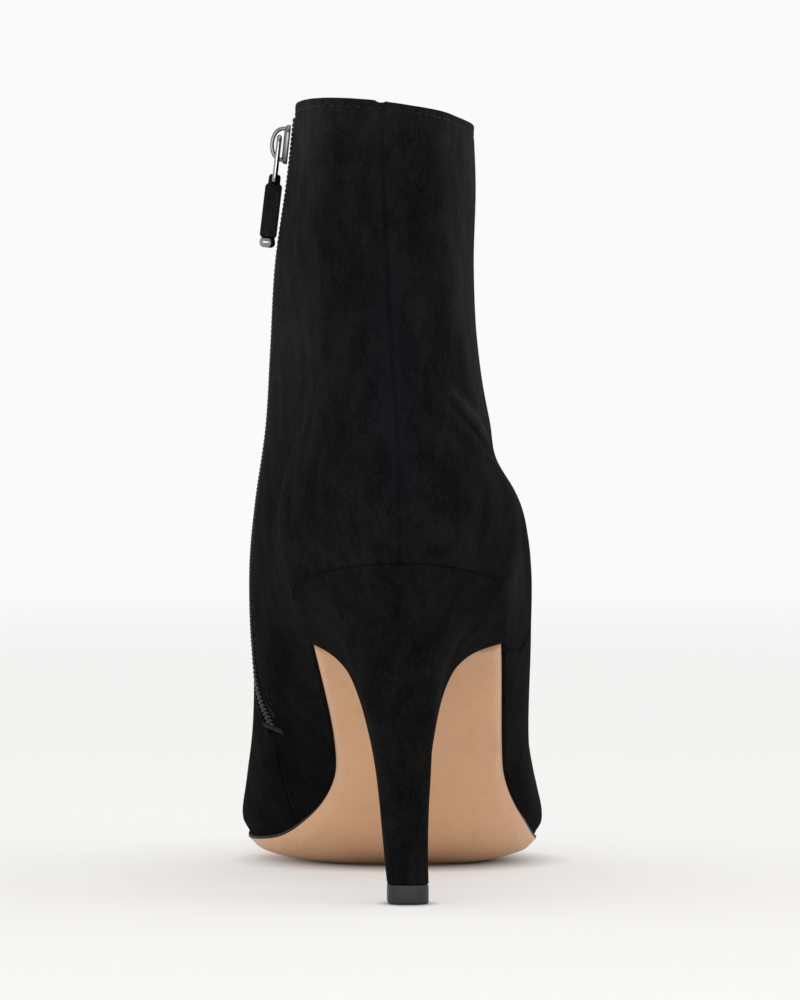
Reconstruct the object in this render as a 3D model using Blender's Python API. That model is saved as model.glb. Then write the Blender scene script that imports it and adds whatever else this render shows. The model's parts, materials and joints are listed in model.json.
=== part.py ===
"""Heeled ankle boot for the right foot: suede upper with an inner side zip, leather sole, covered heel.

Frame: the origin is the middle of the heel's top piece, on the floor. +Y runs to the toe, +X to the outer
side of the foot and +Z up. Sizes are in metres. Table columns are percentages of the driving dimensions.
"""

import math
from collections import namedtuple

import bmesh
import bpy
from mathutils import Matrix, Vector

# Driving dimensions
LENGTH = 0.235  # back of the counter to the tip of the toe, along the floor
BALL_WIDTH = 0.082  # across the joints
HEEL_HEIGHT = 0.085  # floor to the heel seat at the back
COLLAR_HEIGHT = 0.198  # floor to the top edge at the back
HEEL_SET = 0.020  # the heel tip stands this far ahead of the back of the counter

# Walls and gaps
WALL = 0.0018  # suede and lining together
GAP = 0.0003  # between neighbouring pieces
COLUMNS = 56  # around the upper
ROWS = 26  # up the upper

# Sole
BREAST = 0.0355  # front of the heel seat, ahead of the origin
EDGE = 0.0024  # thickness of the sole at its edge
CENTRE = 0.0060  # and along the middle of the forefoot
CROWN = 0.0022  # how far the last's bottom bulges below its edge in the forefoot
EDGE_SHOW = 0.0005  # the sole stands this far proud of the feather edge
INSOLE = 0.0014

# Heel tip
TIP_WIDTH = 0.0102
TIP_DEPTH = 0.0100
TOP_PIECE = 0.0049  # height of the top piece

# Zip
ZIP_END = 0.17  # level of the zip's lower end
ZIP_TOP = 0.985  # level of its upper end
SLOT_HALF = 0.0030
SLIDER_LEVEL = 0.945
LINK_LONG = 0.0128
LINK_WIDE = 0.0052
WIRE = 0.0013
TAB_LONG = 0.0160
TAB_WIDE = 0.0052
TAB_DEEP = 0.0043
PULL_LEAN = math.radians(0.6)  # from the slider's own slope, so that the pull hangs along the shaft

# The bottom of the last, seen from the side
SoleRow = namedtuple("SoleRow", "along height")  # percent of LENGTH from the back, percent of HEEL_HEIGHT
SOLE_ROWS = [
    SoleRow(2.1, 100.0),
    SoleRow(11.0, 92.9),
    SoleRow(24.5, 73.8),
    SoleRow(34.0, 56.5),
    SoleRow(44.7, 35.9),
    SoleRow(53.2, 20.6),
    SoleRow(61.7, 11.3),
    SoleRow(68.1, 8.7),
    SoleRow(74.5, 8.5),
    SoleRow(83.0, 10.1),
    SoleRow(91.5, 13.5),
    SoleRow(99.2, 17.4),
]

# Rings of the upper from the feather edge up to the collar. Each runs from a point on the back curve to a
# point on the ridge of the vamp: "along" in percent of LENGTH from the back, "rise" in percent of the way
# from the seat to the collar, "height" in percent of COLLAR_HEIGHT. "sag" is how much of the sole's own
# curve it follows and "tilt" lifts its inner side, in percent of BALL_WIDTH.
RingLine = namedtuple("RingLine", "name back_along back_rise front_along front_height sag tilt")
RING_LINES = [
    RingLine("feather", 2.1, 0.0, 99.2, 7.47, 1.0, 0),
    RingLine("rand", 0.9, 5.3, 100.0, 10.1, 1.0, 0),
    RingLine("wall", 0.0, 14.0, 98.3, 13.9, 0.88, 0),
    RingLine("toe_box", 0.3, 22.8, 92.8, 17.4, 0.68, 0),
    RingLine("vamp", 1.0, 31.6, 81.3, 23.0, 0.42, 0),
    RingLine("joints", 1.8, 42.1, 68.9, 31.6, 0.18, 0),
    RingLine("instep", 2.4, 53.5, 58.3, 44.4, 0.05, 0),
    RingLine("bend", 2.7, 65.8, 52.6, 58.1, 0.0, 0),
    RingLine("ankle", 2.6, 78.1, 49.4, 72.7, 0.0, 0.7),
    RingLine("shaft", 2.2, 89.5, 47.2, 87.4, 0.0, 1.8),
    RingLine("collar", 1.7, 100.0, 45.5, 98.8, 0.0, 3.2),
]

# Middle line and half width of each ring at seven stations along it, in percent of BALL_WIDTH.
# Stations: back, heel, waist, shank, ball, toe box and toe, as shares of the ring's length
STATIONS = (0.06, 0.20, 0.44, 0.58, 0.73, 0.86, 0.95)
Width = namedtuple("Width", "name mid half")
RING_WIDTHS = [
    Width("feather", (-3.2, 0.7, 7.3, 6.4, 0.6, -3.6, -5.6), (26.2, 30.5, 28.0, 37.4, 46.4, 35.2, 19.0)),
    Width("rand", (-3.2, 0.0, 4.3, 3.8, 0.6, -3.8, -5.9), (28.6, 34.0, 33.8, 42.2, 49.2, 37.6, 21.4)),
    Width("wall", (-3.4, -1.2, -0.2, -0.4, 0.0, -3.0, -5.5), (29.3, 36.5, 41.8, 44.8, 46.6, 35.8, 19.6)),
    Width("toe_box", (-3.7, -2.2, -1.5, -1.1, -0.8, -3.0, -4.9), (27.7, 35.6, 44.0, 44.1, 41.6, 30.8, 17.2)),
    Width("vamp", (-4.3, -3.2, -2.6, -2.1, -1.8, -2.8, -3.7), (23.5, 32.2, 43.6, 43.0, 38.8, 27.8, 16.2)),
    Width("joints", (-5.2, -4.6, -5.0, -4.3, -3.5, -3.2, -3.0), (19.7, 28.8, 39.4, 39.2, 35.4, 26.4, 15.9)),
    Width("instep", (-6.1, -6.1, -7.2, -6.7, -5.9, -4.6, -3.7), (17.4, 25.8, 34.2, 34.0, 30.6, 23.5, 14.6)),
    Width("bend", (-6.8, -7.2, -8.5, -8.2, -7.7, -6.8, -6.1), (16.3, 24.4, 31.6, 31.1, 27.8, 21.5, 13.4)),
    Width("ankle", (-7.6, -8.0, -8.5, -8.4, -8.0, -7.4, -7.0), (15.7, 23.5, 30.2, 29.7, 26.6, 20.6, 12.8)),
    Width("shaft", (-8.3, -7.6, -6.6, -6.5, -6.4, -6.3, -6.2), (15.3, 22.9, 28.7, 28.1, 25.1, 19.5, 12.2)),
    Width("collar", (-8.8, -7.7, -5.9, -5.7, -5.5, -5.5, -5.5), (15.0, 22.3, 27.2, 26.6, 23.6, 18.4, 11.6)),
]
Ring = namedtuple("Ring", RingLine._fields + ("mid", "half"))
RINGS = [Ring(*line, width.mid, width.half) for line, width in zip(RING_LINES, RING_WIDTHS)]

# The heel from its seat down to the tip, in percent of the way: "fall" of the height, "rear" and "front" of
# the narrowing beside the back and beside the breast, "back" and "breast" of the run of those two lines.
# "sway" is its shift towards the inner side in percent of BALL_WIDTH.
HeelRow = namedtuple("HeelRow", "fall rear front back breast sway")
HEEL_ROWS = [
    HeelRow(0.0, 0.0, 0.0, 0.0, 0.0, 0.0),
    HeelRow(1.2, 1.5, 13.0, 1.5, 10.0, 0.6),
    HeelRow(3.5, 5.0, 31.0, 7.0, 25.0, 1.5),
    HeelRow(7.0, 11.5, 47.0, 16.0, 40.0, 1.9),
    HeelRow(12.2, 22.0, 60.5, 30.0, 55.0, 2.0),
    HeelRow(22.5, 43.0, 73.5, 52.0, 71.0, 2.0),
    HeelRow(36.4, 66.0, 83.7, 71.0, 82.0, 1.7),
    HeelRow(50.0, 81.5, 90.5, 83.0, 88.5, 1.4),
    HeelRow(63.6, 90.5, 94.0, 90.0, 93.0, 1.0),
    HeelRow(77.6, 96.0, 97.0, 95.0, 96.5, 0.8),
    HeelRow(91.6, 98.8, 99.2, 99.0, 99.0, 0.4),
    HeelRow(100.0, 100.0, 100.0, 100.0, 100.0, 0.0),
]

# Where the zip and the seam below it run, as shares of the ring's length at each level
ZipRow = namedtuple("ZipRow", "level share")
ZIP_ROWS = [
    ZipRow(0.0, 0.580),
    ZipRow(0.17, 0.478),
    ZipRow(0.3, 0.480),
    ZipRow(0.6, 0.490),
    ZipRow(1.0, 0.500),
]


def smooth_through(places, values, at, level_ends=False):
    """A smooth curve through values at the given places, held at its end values outside them.

    level_ends lets it reach those end values without a corner.
    """
    if at <= places[0]:
        return values[0]
    if at >= places[-1]:
        return values[-1]
    k = max(i for i, place in enumerate(places) if place <= at)

    def slope(i):
        if level_ends and i in (0, len(places) - 1):
            return 0.0
        low = max(i - 1, 0)
        high = min(i + 1, len(places) - 1)
        return (values[high] - values[low]) / (places[high] - places[low])

    span = places[k + 1] - places[k]
    s = (at - places[k]) / span
    return (
        (2 * s**3 - 3 * s**2 + 1) * values[k]
        + (s**3 - 2 * s**2 + s) * span * slope(k)
        + (3 * s**2 - 2 * s**3) * values[k + 1]
        + (s**3 - s**2) * span * slope(k + 1)
    )


def mix(a, b, share):
    return a + (b - a) * share


def along_y(percent):
    return percent / 100 * LENGTH - HEEL_SET


def sole_z(y):
    """Height of the last's bottom edge above the floor."""
    places = [along_y(row.along) for row in SOLE_ROWS]
    heights = [row.height / 100 * HEEL_HEIGHT for row in SOLE_ROWS]
    return smooth_through(places, heights, y)


def sole_bow(y):
    """How far the sole's curve lies above the straight line between its ends."""
    back = along_y(SOLE_ROWS[0].along)
    toe = along_y(SOLE_ROWS[-1].along)
    return sole_z(y) - mix(sole_z(back), sole_z(toe), (y - back) / (toe - back))


def ring_at(level):
    """The ring at a level from 0, the feather edge, to 1, the collar, in metres."""
    places = [i / (len(RINGS) - 1) for i in range(len(RINGS))]

    def column(pick):
        return smooth_through(places, [pick(ring) for ring in RINGS], level)

    rise = COLLAR_HEIGHT - HEEL_HEIGHT
    return Ring(
        "",
        along_y(column(lambda ring: ring.back_along)),
        HEEL_HEIGHT + rise * column(lambda ring: ring.back_rise) / 100,
        along_y(column(lambda ring: ring.front_along)),
        COLLAR_HEIGHT * column(lambda ring: ring.front_height) / 100,
        column(lambda ring: ring.sag),
        column(lambda ring: ring.tilt) / 100 * BALL_WIDTH,
        [column(lambda ring, k=k: ring.mid[k]) / 100 * BALL_WIDTH for k in range(len(STATIONS))],
        [column(lambda ring, k=k: ring.half[k]) / 100 * BALL_WIDTH for k in range(len(STATIONS))],
    )


def ring_point(ring, turn, spread=0.0):
    """A point of a ring, spread outward. turn is 0 at the back, pi at the toe, along the inner side."""
    share = (1 - math.cos(turn)) / 2
    y = mix(ring.back_along - spread, ring.front_along + spread, share)
    bow = sole_bow(y) - mix(sole_bow(ring.back_along), sole_bow(ring.front_along), share)
    z = mix(ring.back_rise, ring.front_height, share) + ring.sag * bow + ring.tilt * math.sin(turn)
    fullness = [(half + spread) / (2 * math.sqrt(s * (1 - s))) for half, s in zip(ring.half, STATIONS)]
    middle = smooth_through(STATIONS, ring.mid, share, True)
    return Vector((middle - smooth_through(STATIONS, fullness, share, True) * math.sin(turn), y, z))


def upper_point(turn, level):
    return ring_point(ring_at(level), turn)


def turn_at(share):
    """The turn on the inner side at a share of the ring's length."""
    return math.acos(1 - 2 * share)


def zip_turn(level):
    return turn_at(smooth_through([row.level for row in ZIP_ROWS], [row.share for row in ZIP_ROWS], level))


def zip_frame(level):
    """The zip's place at a level, the ways forward across it, up along it and out of the boot."""
    here = upper_point(zip_turn(level), level)
    ring = upper_point(zip_turn(level) + 0.02, level) - upper_point(zip_turn(level) - 0.02, level)
    high = min(level + 0.01, 1.0)
    up = upper_point(zip_turn(high), high) - upper_point(zip_turn(high - 0.02), high - 0.02)
    up.normalize()
    out = up.cross(ring).normalized()
    return here, out.cross(up), up, out


def zip_sweep(section, first, last, count):
    """Rings of a section of (across, out) pairs carried along the zip."""
    rings = []
    for j in range(count + 1):
        here, across, up, out = zip_frame(mix(first, last, j / count))
        rings.append([here + across * a + out * h for a, h in section])
    return rings


def material(name, colour, rough, metal=0.0):
    made = bpy.data.materials.new(name)
    made.use_nodes = True
    shader = made.node_tree.nodes["Principled BSDF"]
    shader.inputs["Base Color"].default_value = (*colour, 1.0)
    shader.inputs["Roughness"].default_value = rough
    shader.inputs["Metallic"].default_value = metal
    return made


def finish(name, bm, made):
    """Turn a bmesh into a named object with its material."""
    bmesh.ops.recalc_face_normals(bm, faces=bm.faces)
    mesh = bpy.data.meshes.new(name)
    bm.to_mesh(mesh)
    bm.free()
    mesh.materials.append(made)
    thing = bpy.data.objects.new(name, mesh)
    bpy.context.scene.collection.objects.link(thing)
    return thing


def cutter(name, bm, made):
    """A hidden form for cutting or joining."""
    thing = finish(name, bm, made)
    thing.hide_render = True
    thing.display_type = "WIRE"
    return thing


def trim(thing, form, operation):
    step = thing.modifiers.new(form.name, "BOOLEAN")
    step.operation = operation
    step.solver = "EXACT"
    step.object = form


def skin(rings, closed=False):
    """A closed body through rings of points, its two ends capped unless the rings close on themselves."""
    bm = bmesh.new()
    rows = [[bm.verts.new(point) for point in ring] for ring in rings]
    pairs = list(zip(rows, rows[1:]))
    if closed:
        pairs.append((rows[-1], rows[0]))
    for low, high in pairs:
        for i in range(len(low)):
            k = (i + 1) % len(low)
            bm.faces.new((low[i], low[k], high[k], high[i]))
    if not closed:
        bm.faces.new(rows[0])
        bm.faces.new(rows[-1])
    return bm


def rounded(wide, deep, corner, steps=3):
    """A rectangle with rounded corners about the origin."""
    points = []
    for quarter in range(4):
        for step in range(steps + 1):
            angle = math.pi / 2 * (quarter + step / steps)
            x = math.copysign(wide / 2 - corner, math.cos(math.pi / 2 * quarter + math.pi / 4))
            y = math.copysign(deep / 2 - corner, math.sin(math.pi / 2 * quarter + math.pi / 4))
            points.append((x + corner * math.cos(angle), y + corner * math.sin(angle)))
    return points


def build_upper(made):
    """The shell, open at the collar and underneath, its wall thickened inward and slotted for the zip."""
    bm = bmesh.new()
    turns = [2 * math.pi * i / COLUMNS for i in range(COLUMNS)]
    rows = []
    for j in range(ROWS + 1):
        ring = ring_at(j / ROWS)
        rows.append([bm.verts.new(ring_point(ring, turn)) for turn in turns])
    for low, high in zip(rows, rows[1:]):
        for i in range(COLUMNS):
            k = (i + 1) % COLUMNS
            bm.faces.new((low[k], low[i], high[i], high[k]))
    upper = finish("upper", bm, made)
    wall = upper.modifiers.new("wall", "SOLIDIFY")
    wall.thickness = WALL
    wall.offset = -1.0
    wall.use_even_offset = True
    wall.use_rim = True
    half = SLOT_HALF
    box = [(-half, -0.005), (half, -0.005), (half, 0.005), (-half, 0.005)]
    rings = zip_sweep(box, ZIP_END, 1.0, 44)
    rings.append([point + Vector((0, 0, 0.006)) for point in rings[-1]])
    slot = cutter("slot_form", skin(rings), made)
    trim(upper, slot, "DIFFERENCE")
    return upper


def toe_fade(y):
    """1 along the sole, falling to 0 at the tip of the toe."""
    left = (along_y(SOLE_ROWS[-1].along) - y) / 0.045
    return math.sqrt(min(max(left, 0.0), 1.0))


def forefoot(y):
    """0 at the heel breast, rising to 1 where the waist runs into the forefoot."""
    return min(max((y - BREAST) / 0.06, 0.0), 1.0)


def last_bottom(y, across):
    """Height of the last's bottom, across running from -1 to 1 between its edges."""
    return sole_z(y) - CROWN * forefoot(y) * toe_fade(y) * (1 - across**2)


def sole_slices(first, last, spread, steps):
    """Turns from one place along the foot to another, closer together towards the toe."""
    ring = ring_at(0)
    start = turn_at((first - ring.back_along + spread) / (ring.front_along - ring.back_along + 2 * spread))
    return [mix(start, last, i / steps) for i in range(steps + 1)]


def sole_sheet(turns, spread, top, bottom, strips):
    """A closed sheet inside the feather edge, between two heights given by y and the place across."""
    ring = ring_at(0)
    rings = []
    for turn in turns:
        inner = ring_point(ring, turn, spread)
        outer = ring_point(ring, -turn, spread)
        spots = [-1 + 2 * i / strips for i in range(strips + 1)]
        upper = [Vector((mix(inner.x, outer.x, (s + 1) / 2), inner.y, top(inner.y, s))) for s in spots]
        lower = [Vector((mix(inner.x, outer.x, (s + 1) / 2), inner.y, bottom(inner.y, s))) for s in spots]
        rings.append(upper + lower[::-1])
    bm = skin(rings)
    bmesh.ops.dissolve_degenerate(bm, dist=1e-6, edges=bm.edges)
    return bm


def build_outsole(made):
    """Leather sole from the heel breast to the toe, thin at its waist and edge, flat under the forefoot."""

    def top(y, s):
        return last_bottom(y, s) - GAP

    def bottom(y, s):
        thick = EDGE + (CENTRE - EDGE) * forefoot(y) * toe_fade(y) * (1 - s**4)
        return max(top(y, s) - thick, 0.0)

    turns = sole_slices(BREAST + GAP, math.pi - 0.05, EDGE_SHOW, 36)
    return finish("outsole", sole_sheet(turns, EDGE_SHOW, top, bottom, 10), made)


def build_insole(made):
    """Sock board inside the upper, from the back of the heel to the toe."""
    inset = -(WALL + 0.0014)
    turns = sole_slices(along_y(SOLE_ROWS[0].along) + 0.0032, math.pi - 0.12, inset, 40)

    def top(y, s):
        return last_bottom(y, s) + INSOLE

    return finish("insole", sole_sheet(turns, inset, top, last_bottom, 6), made)


def tip_outline(steps):
    """The heel tip from the middle of its back to its inner breast corner, from its middle."""
    corner = 0.0034
    points = []
    for i in range(steps + 1):
        p = i / steps
        if p < 0.3:
            points.append((-(TIP_WIDTH / 2 - corner) * p / 0.3, -TIP_DEPTH / 2))
        elif p < 0.7:
            angle = math.pi / 2 * (p - 0.3) / 0.4
            x = -(TIP_WIDTH / 2 - corner) - corner * math.sin(angle)
            points.append((x, -TIP_DEPTH / 2 + corner - corner * math.cos(angle)))
        else:
            points.append((-TIP_WIDTH / 2, mix(-TIP_DEPTH / 2 + corner, TIP_DEPTH / 2, (p - 0.7) / 0.3)))
    return points


def heel_ring(row, steps):
    """One ring of the heel, from its inner breast corner round the back to its outer breast corner."""
    ring = ring_at(0)
    spread = EDGE_SHOW
    corner = turn_at((BREAST - ring.back_along + spread) / (ring.front_along - ring.back_along + 2 * spread))
    tip = tip_outline(steps)
    sides = []
    for side in (1, -1):
        points = []
        for i in range(steps + 1):
            p = i / steps
            seat = ring_point(ring, side * corner * p, spread)
            forward = p * p * (3 - 2 * p)
            narrow = mix(row.rear, row.front, forward) / 100
            run = mix(row.back, row.breast, forward) / 100
            x = mix(seat.x, side * tip[i][0], narrow) - row.sway / 100 * BALL_WIDTH
            y = mix(seat.y, tip[i][1], run)
            z = mix(seat.z - GAP, TOP_PIECE + GAP, row.fall / 100)
            points.append(Vector((x, y, z)))
        sides.append(points)
    inner, outer = sides
    return inner[::-1] + outer[1:]


def build_heel(made):
    """Covered heel flaring from a slim tip to the seat."""
    steps = 14
    rings = [heel_ring(row, steps) for row in HEEL_ROWS]
    bm = bmesh.new()
    rows = [[bm.verts.new(point) for point in ring] for ring in rings]
    count = len(rows[0])
    for high, low in zip(rows, rows[1:]):
        for i in range(count):
            k = (i + 1) % count
            bm.faces.new((high[i], high[k], low[k], low[i]))
    seat = rows[0]
    for i in range(steps):
        far = count - 1 - i
        if i < steps - 1:
            bm.faces.new((seat[i], seat[i + 1], seat[far - 1], seat[far]))
        else:
            bm.faces.new((seat[i], seat[i + 1], seat[far]))
    bm.faces.new(rows[-1])
    return finish("heel", bm, made)


def build_top_piece(made):
    """Hard top piece under the heel tip, its lower edge eased."""
    outline = tip_outline(14)
    loop = [(x, y) for x, y in outline[::-1]] + [(-x, y) for x, y in outline[1:]]
    ease = 0.0004
    rings = []
    for height, share in ((0.0, 1 - 2 * ease / TIP_WIDTH), (ease, 1.0), (TOP_PIECE, 1.0)):
        rings.append([Vector((x * share, y * share, height)) for x, y in loop])
    return finish("top_piece", skin(rings), made)


def build_zip_chain(made):
    """Tape with a raised row of teeth along its middle, lying in the slot."""
    tape = SLOT_HALF - GAP
    section = [
        (-tape, -0.0012),
        (tape, -0.0012),
        (tape, -0.0001),
        (0.0017, 0.0000),
        (0.0014, 0.0006),
        (-0.0014, 0.0006),
        (-0.0017, 0.0000),
        (-tape, -0.0001),
    ]
    step = 0.0025
    return finish("zip_chain", skin(zip_sweep(section, ZIP_END + step, ZIP_TOP, 44)), made)


def pull_frame():
    """Frame of the slider and pull: x back across the zip, y up along it, z out of the boot."""
    here, across, up, out = zip_frame(SLIDER_LEVEL)
    out = Vector((out.x, 0.0, out.z)).normalized()
    across = Vector((0.0, -1.0, 0.0))
    frame = Matrix((across, out.cross(across), out)).transposed().to_4x4()
    frame.translation = here
    return frame


BRIDGE_FOOT = 0.0024  # top of the slider's plate above the upper
BRIDGE_TOP = 0.0058
PIVOT = (0.0016, 0.0035)  # the link's upper bar, up along the zip and out


def build_slider(made):
    """Slider plate over the teeth with an arched bridge for the pull."""
    low = 0.0006 + GAP
    plate = [[Vector((x, y, z)) for x, y in rounded(0.0066, 0.0100, 0.0022)] for z in (low, BRIDGE_FOOT)]
    bm = skin(plate)
    slider = finish("zip_slider", bm, made)
    rings = []
    for i in range(13):
        angle = math.pi * i / 12
        y = 0.0040 * math.cos(angle)
        z = BRIDGE_FOOT - 0.0006 + (BRIDGE_TOP - BRIDGE_FOOT) * math.sin(angle) ** 0.7
        way = Vector((0, -0.0040 * math.sin(angle), (BRIDGE_TOP - BRIDGE_FOOT) * math.cos(angle)))
        way = Vector((0, 0, 1)) if i == 0 else Vector((0, 0, -1)) if i == 12 else way.normalized()
        side = Vector((1, 0, 0))
        lift = side.cross(way)
        section = rounded(0.0022, 0.0010, 0.0003, 1)
        rings.append([Vector((0, y, z)) + side * a + lift * b for a, b in section])
    bridge = cutter("bridge_form", skin(rings), made)
    trim(slider, bridge, "UNION")
    for thing in (slider, bridge):
        thing.data.transform(pull_frame())
    return slider


def hang(things):
    """Put pieces of the pull in place, leaning about the link's upper bar."""
    pivot = Matrix.Translation((0, *PIVOT))
    lean = pivot @ Matrix.Rotation(-PULL_LEAN, 4, "X") @ pivot.inverted()
    for thing in things:
        thing.data.transform(pull_frame() @ lean)


def build_link(made):
    """Wire loop through the bridge, closed round the eye of the tab."""
    up, out = PIVOT
    middle = Vector((0, up - (LINK_LONG - WIRE) / 2, out))
    path = rounded(LINK_WIDE - WIRE, LINK_LONG - WIRE, 0.0012, 4)
    rings = []
    for i, (x, y) in enumerate(path):
        before = Vector((*path[i - 1], 0))
        after = Vector((*path[(i + 1) % len(path)], 0))
        way = (after - before).normalized()
        side = way.cross(Vector((0, 0, 1)))
        here = middle + Vector((x, y, 0))
        ring = []
        for k in range(8):
            angle = math.pi / 4 * k
            ring.append(here + (side * math.cos(angle) + Vector((0, 0, math.sin(angle)))) * WIRE / 2)
        rings.append(ring)
    link = finish("pull_link", skin(rings, closed=True), made)
    hang([link])
    return link


# The tab from its eye to its lower end: place along it, width and depth, in percent of its own sizes
TabRow = namedtuple("TabRow", "along wide deep")
TAB_ROWS = [
    TabRow(0.0, 40.0, 55.0),
    TabRow(4.0, 48.0, 70.0),
    TabRow(15.0, 48.0, 71.0),
    TabRow(18.0, 92.0, 95.0),
    TabRow(21.0, 100.0, 100.0),
    TabRow(96.0, 100.0, 100.0),
    TabRow(100.0, 90.0, 90.0),
]


def tab_top():
    return PIVOT[0] - (LINK_LONG - WIRE) + 0.0021


def build_tab(made):
    """Covered tab with an eye for the link."""
    up, out = PIVOT
    rings = []
    for row in TAB_ROWS:
        outline = rounded(TAB_WIDE * row.wide / 100, TAB_DEEP * row.deep / 100, 0.0009, 2)
        rings.append([Vector((x, tab_top() - TAB_LONG * row.along / 100, out + z)) for x, z in outline])
    tab = finish("pull_tab", skin(rings), made)
    bar = up - (LINK_LONG - WIRE)
    circle = [math.pi / 6 * k for k in range(12)]
    radius = WIRE / 2 + GAP
    eye = []
    for x in (-0.01, 0.01):
        eye.append([Vector((x, bar + radius * math.cos(a), out + radius * math.sin(a))) for a in circle])
    hole = cutter("eye_form", skin(eye), made)
    trim(tab, hole, "DIFFERENCE")
    hang([tab, hole])
    return tab


def build_end(made):
    """Metal bead closing the tab's lower end."""
    top = tab_top() - TAB_LONG - GAP
    rings = []
    for drop, share in ((0.0, 0.86), (0.0004, 1.0), (0.0017, 1.0), (0.0024, 0.66)):
        outline = rounded(0.0042 * share, 0.0040 * share, 0.0012 * share, 2)
        rings.append([Vector((x, top - drop, PIVOT[1] + z)) for x, z in outline])
    end = finish("pull_end", skin(rings), made)
    hang([end])
    return end


def main():
    for thing in list(bpy.data.objects):
        bpy.data.objects.remove(thing, do_unlink=True)
    build_upper(material("black_suede", (0.010, 0.010, 0.011), 0.95))
    build_outsole(material("tan_leather", (0.50, 0.30, 0.18), 0.45))
    build_insole(material("sock_leather", (0.55, 0.42, 0.31), 0.60))
    build_heel(material("heel_suede", (0.010, 0.010, 0.011), 0.95))
    build_top_piece(material("top_piece_plastic", (0.055, 0.055, 0.058), 0.50))
    build_zip_chain(material("zip_teeth", (0.015, 0.015, 0.016), 0.40))
    build_slider(material("slider_metal", (0.60, 0.60, 0.62), 0.25, 1.0))
    build_link(material("link_metal", (0.70, 0.70, 0.72), 0.20, 1.0))
    build_tab(material("tab_suede", (0.010, 0.010, 0.011), 0.95))
    build_end(material("end_metal", (0.70, 0.70, 0.72), 0.20, 1.0))


main()
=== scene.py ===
"""Looks of a heeled ankle boot for the right foot: black suede upper with an inner side zip, tan leather
sole, covered heel. The file is laid out as an add-on and run as a script.

Frame: the origin is the middle of the heel's top piece, on the floor. +Y runs to the toe, +X to the outer
side of the foot and +Z up. Sizes are in metres. Tables say what their columns are a percentage or share of.
"""

import json
import math
from collections import namedtuple
from functools import lru_cache

import bmesh
import bpy
from bpy.props import FloatProperty, FloatVectorProperty, PointerProperty
from mathutils import Matrix, Vector

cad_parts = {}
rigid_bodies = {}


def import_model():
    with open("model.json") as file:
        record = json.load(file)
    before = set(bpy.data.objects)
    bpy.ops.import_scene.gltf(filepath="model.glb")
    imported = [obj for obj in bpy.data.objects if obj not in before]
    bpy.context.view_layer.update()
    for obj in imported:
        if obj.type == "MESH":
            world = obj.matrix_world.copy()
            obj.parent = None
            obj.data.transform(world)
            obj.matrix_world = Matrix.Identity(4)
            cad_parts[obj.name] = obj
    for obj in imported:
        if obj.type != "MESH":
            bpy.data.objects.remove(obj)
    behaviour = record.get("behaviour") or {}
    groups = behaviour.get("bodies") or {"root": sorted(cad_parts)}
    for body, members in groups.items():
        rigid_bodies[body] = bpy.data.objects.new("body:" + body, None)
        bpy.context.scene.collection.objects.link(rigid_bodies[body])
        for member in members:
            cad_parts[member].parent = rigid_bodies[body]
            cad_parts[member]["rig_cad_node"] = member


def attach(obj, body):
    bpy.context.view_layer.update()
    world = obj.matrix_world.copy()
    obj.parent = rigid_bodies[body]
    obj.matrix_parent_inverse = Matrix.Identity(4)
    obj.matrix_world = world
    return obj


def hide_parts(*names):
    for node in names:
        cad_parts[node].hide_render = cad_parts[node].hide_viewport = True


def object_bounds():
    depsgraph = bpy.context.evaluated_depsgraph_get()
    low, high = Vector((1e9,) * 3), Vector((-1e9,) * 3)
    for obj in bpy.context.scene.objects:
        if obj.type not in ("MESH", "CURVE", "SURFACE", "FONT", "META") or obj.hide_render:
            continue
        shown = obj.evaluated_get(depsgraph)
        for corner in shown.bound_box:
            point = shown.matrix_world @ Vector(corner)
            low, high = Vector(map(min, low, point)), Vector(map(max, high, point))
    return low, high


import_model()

CAD_LOW, CAD_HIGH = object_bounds()

bl_info = {
    "name": "Heeled ankle boot",
    "version": (1, 0, 0),
    "blender": (4, 5, 0),
    "location": "View3D > Sidebar > Boot",
    "description": "Suede upper, zip, leather sole and covered heel around the boot's solids",
    "category": "Mesh",
}

# Driving dimensions
LENGTH = 0.235  # back of the counter to the tip of the toe, along the floor
BALL_WIDTH = 0.082  # across the joints
HEEL_HEIGHT = 0.085  # floor to the heel seat at the back
COLLAR_HEIGHT = 0.198  # floor to the top edge at the back
HEEL_SET = 0.020  # the heel tip stands this far ahead of the back of the counter
GAP = 0.0003  # between neighbouring pieces
WALL = 0.0018  # suede and lining together

# Sole
BREAST = 0.0355  # front of the heel seat, ahead of the origin
EDGE = 0.0024  # thickness of the sole at its edge
CENTRE = 0.0060  # and along the middle of the forefoot
CROWN = 0.0022  # how far the last's bottom bulges below its edge in the forefoot
EDGE_SHOW = 0.0005  # the sole stands this far proud of the feather edge
INSOLE = 0.0014
SOCK_INSET = WALL + 0.0014  # from the feather edge in to the sock
SOCK_BACK = 0.0032  # from the back of the last's bottom to the sock
TURNED_UP = 0.09  # share of the half width over which the sole thins to its rim
TOE_THIN = 0.006  # and the length over which it does so at the toe
WAIST_RUN = 0.06  # from the heel breast to where the waist has run into the forefoot
TOE_RUN = 0.045  # over which the crown fades out towards the tip of the toe
DRAWN_IN = 0.0017  # how far the sole's edge is drawn in along the waist
DRAWN_TO = 0.080  # where it starts to run out again, ahead of the origin
DRAWN_RUN = 0.050  # and over which length
TREAD = (0.0035, 0.1484, 0.0)  # middle of where the sole rests on the floor, and of the painted shadow there
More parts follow.
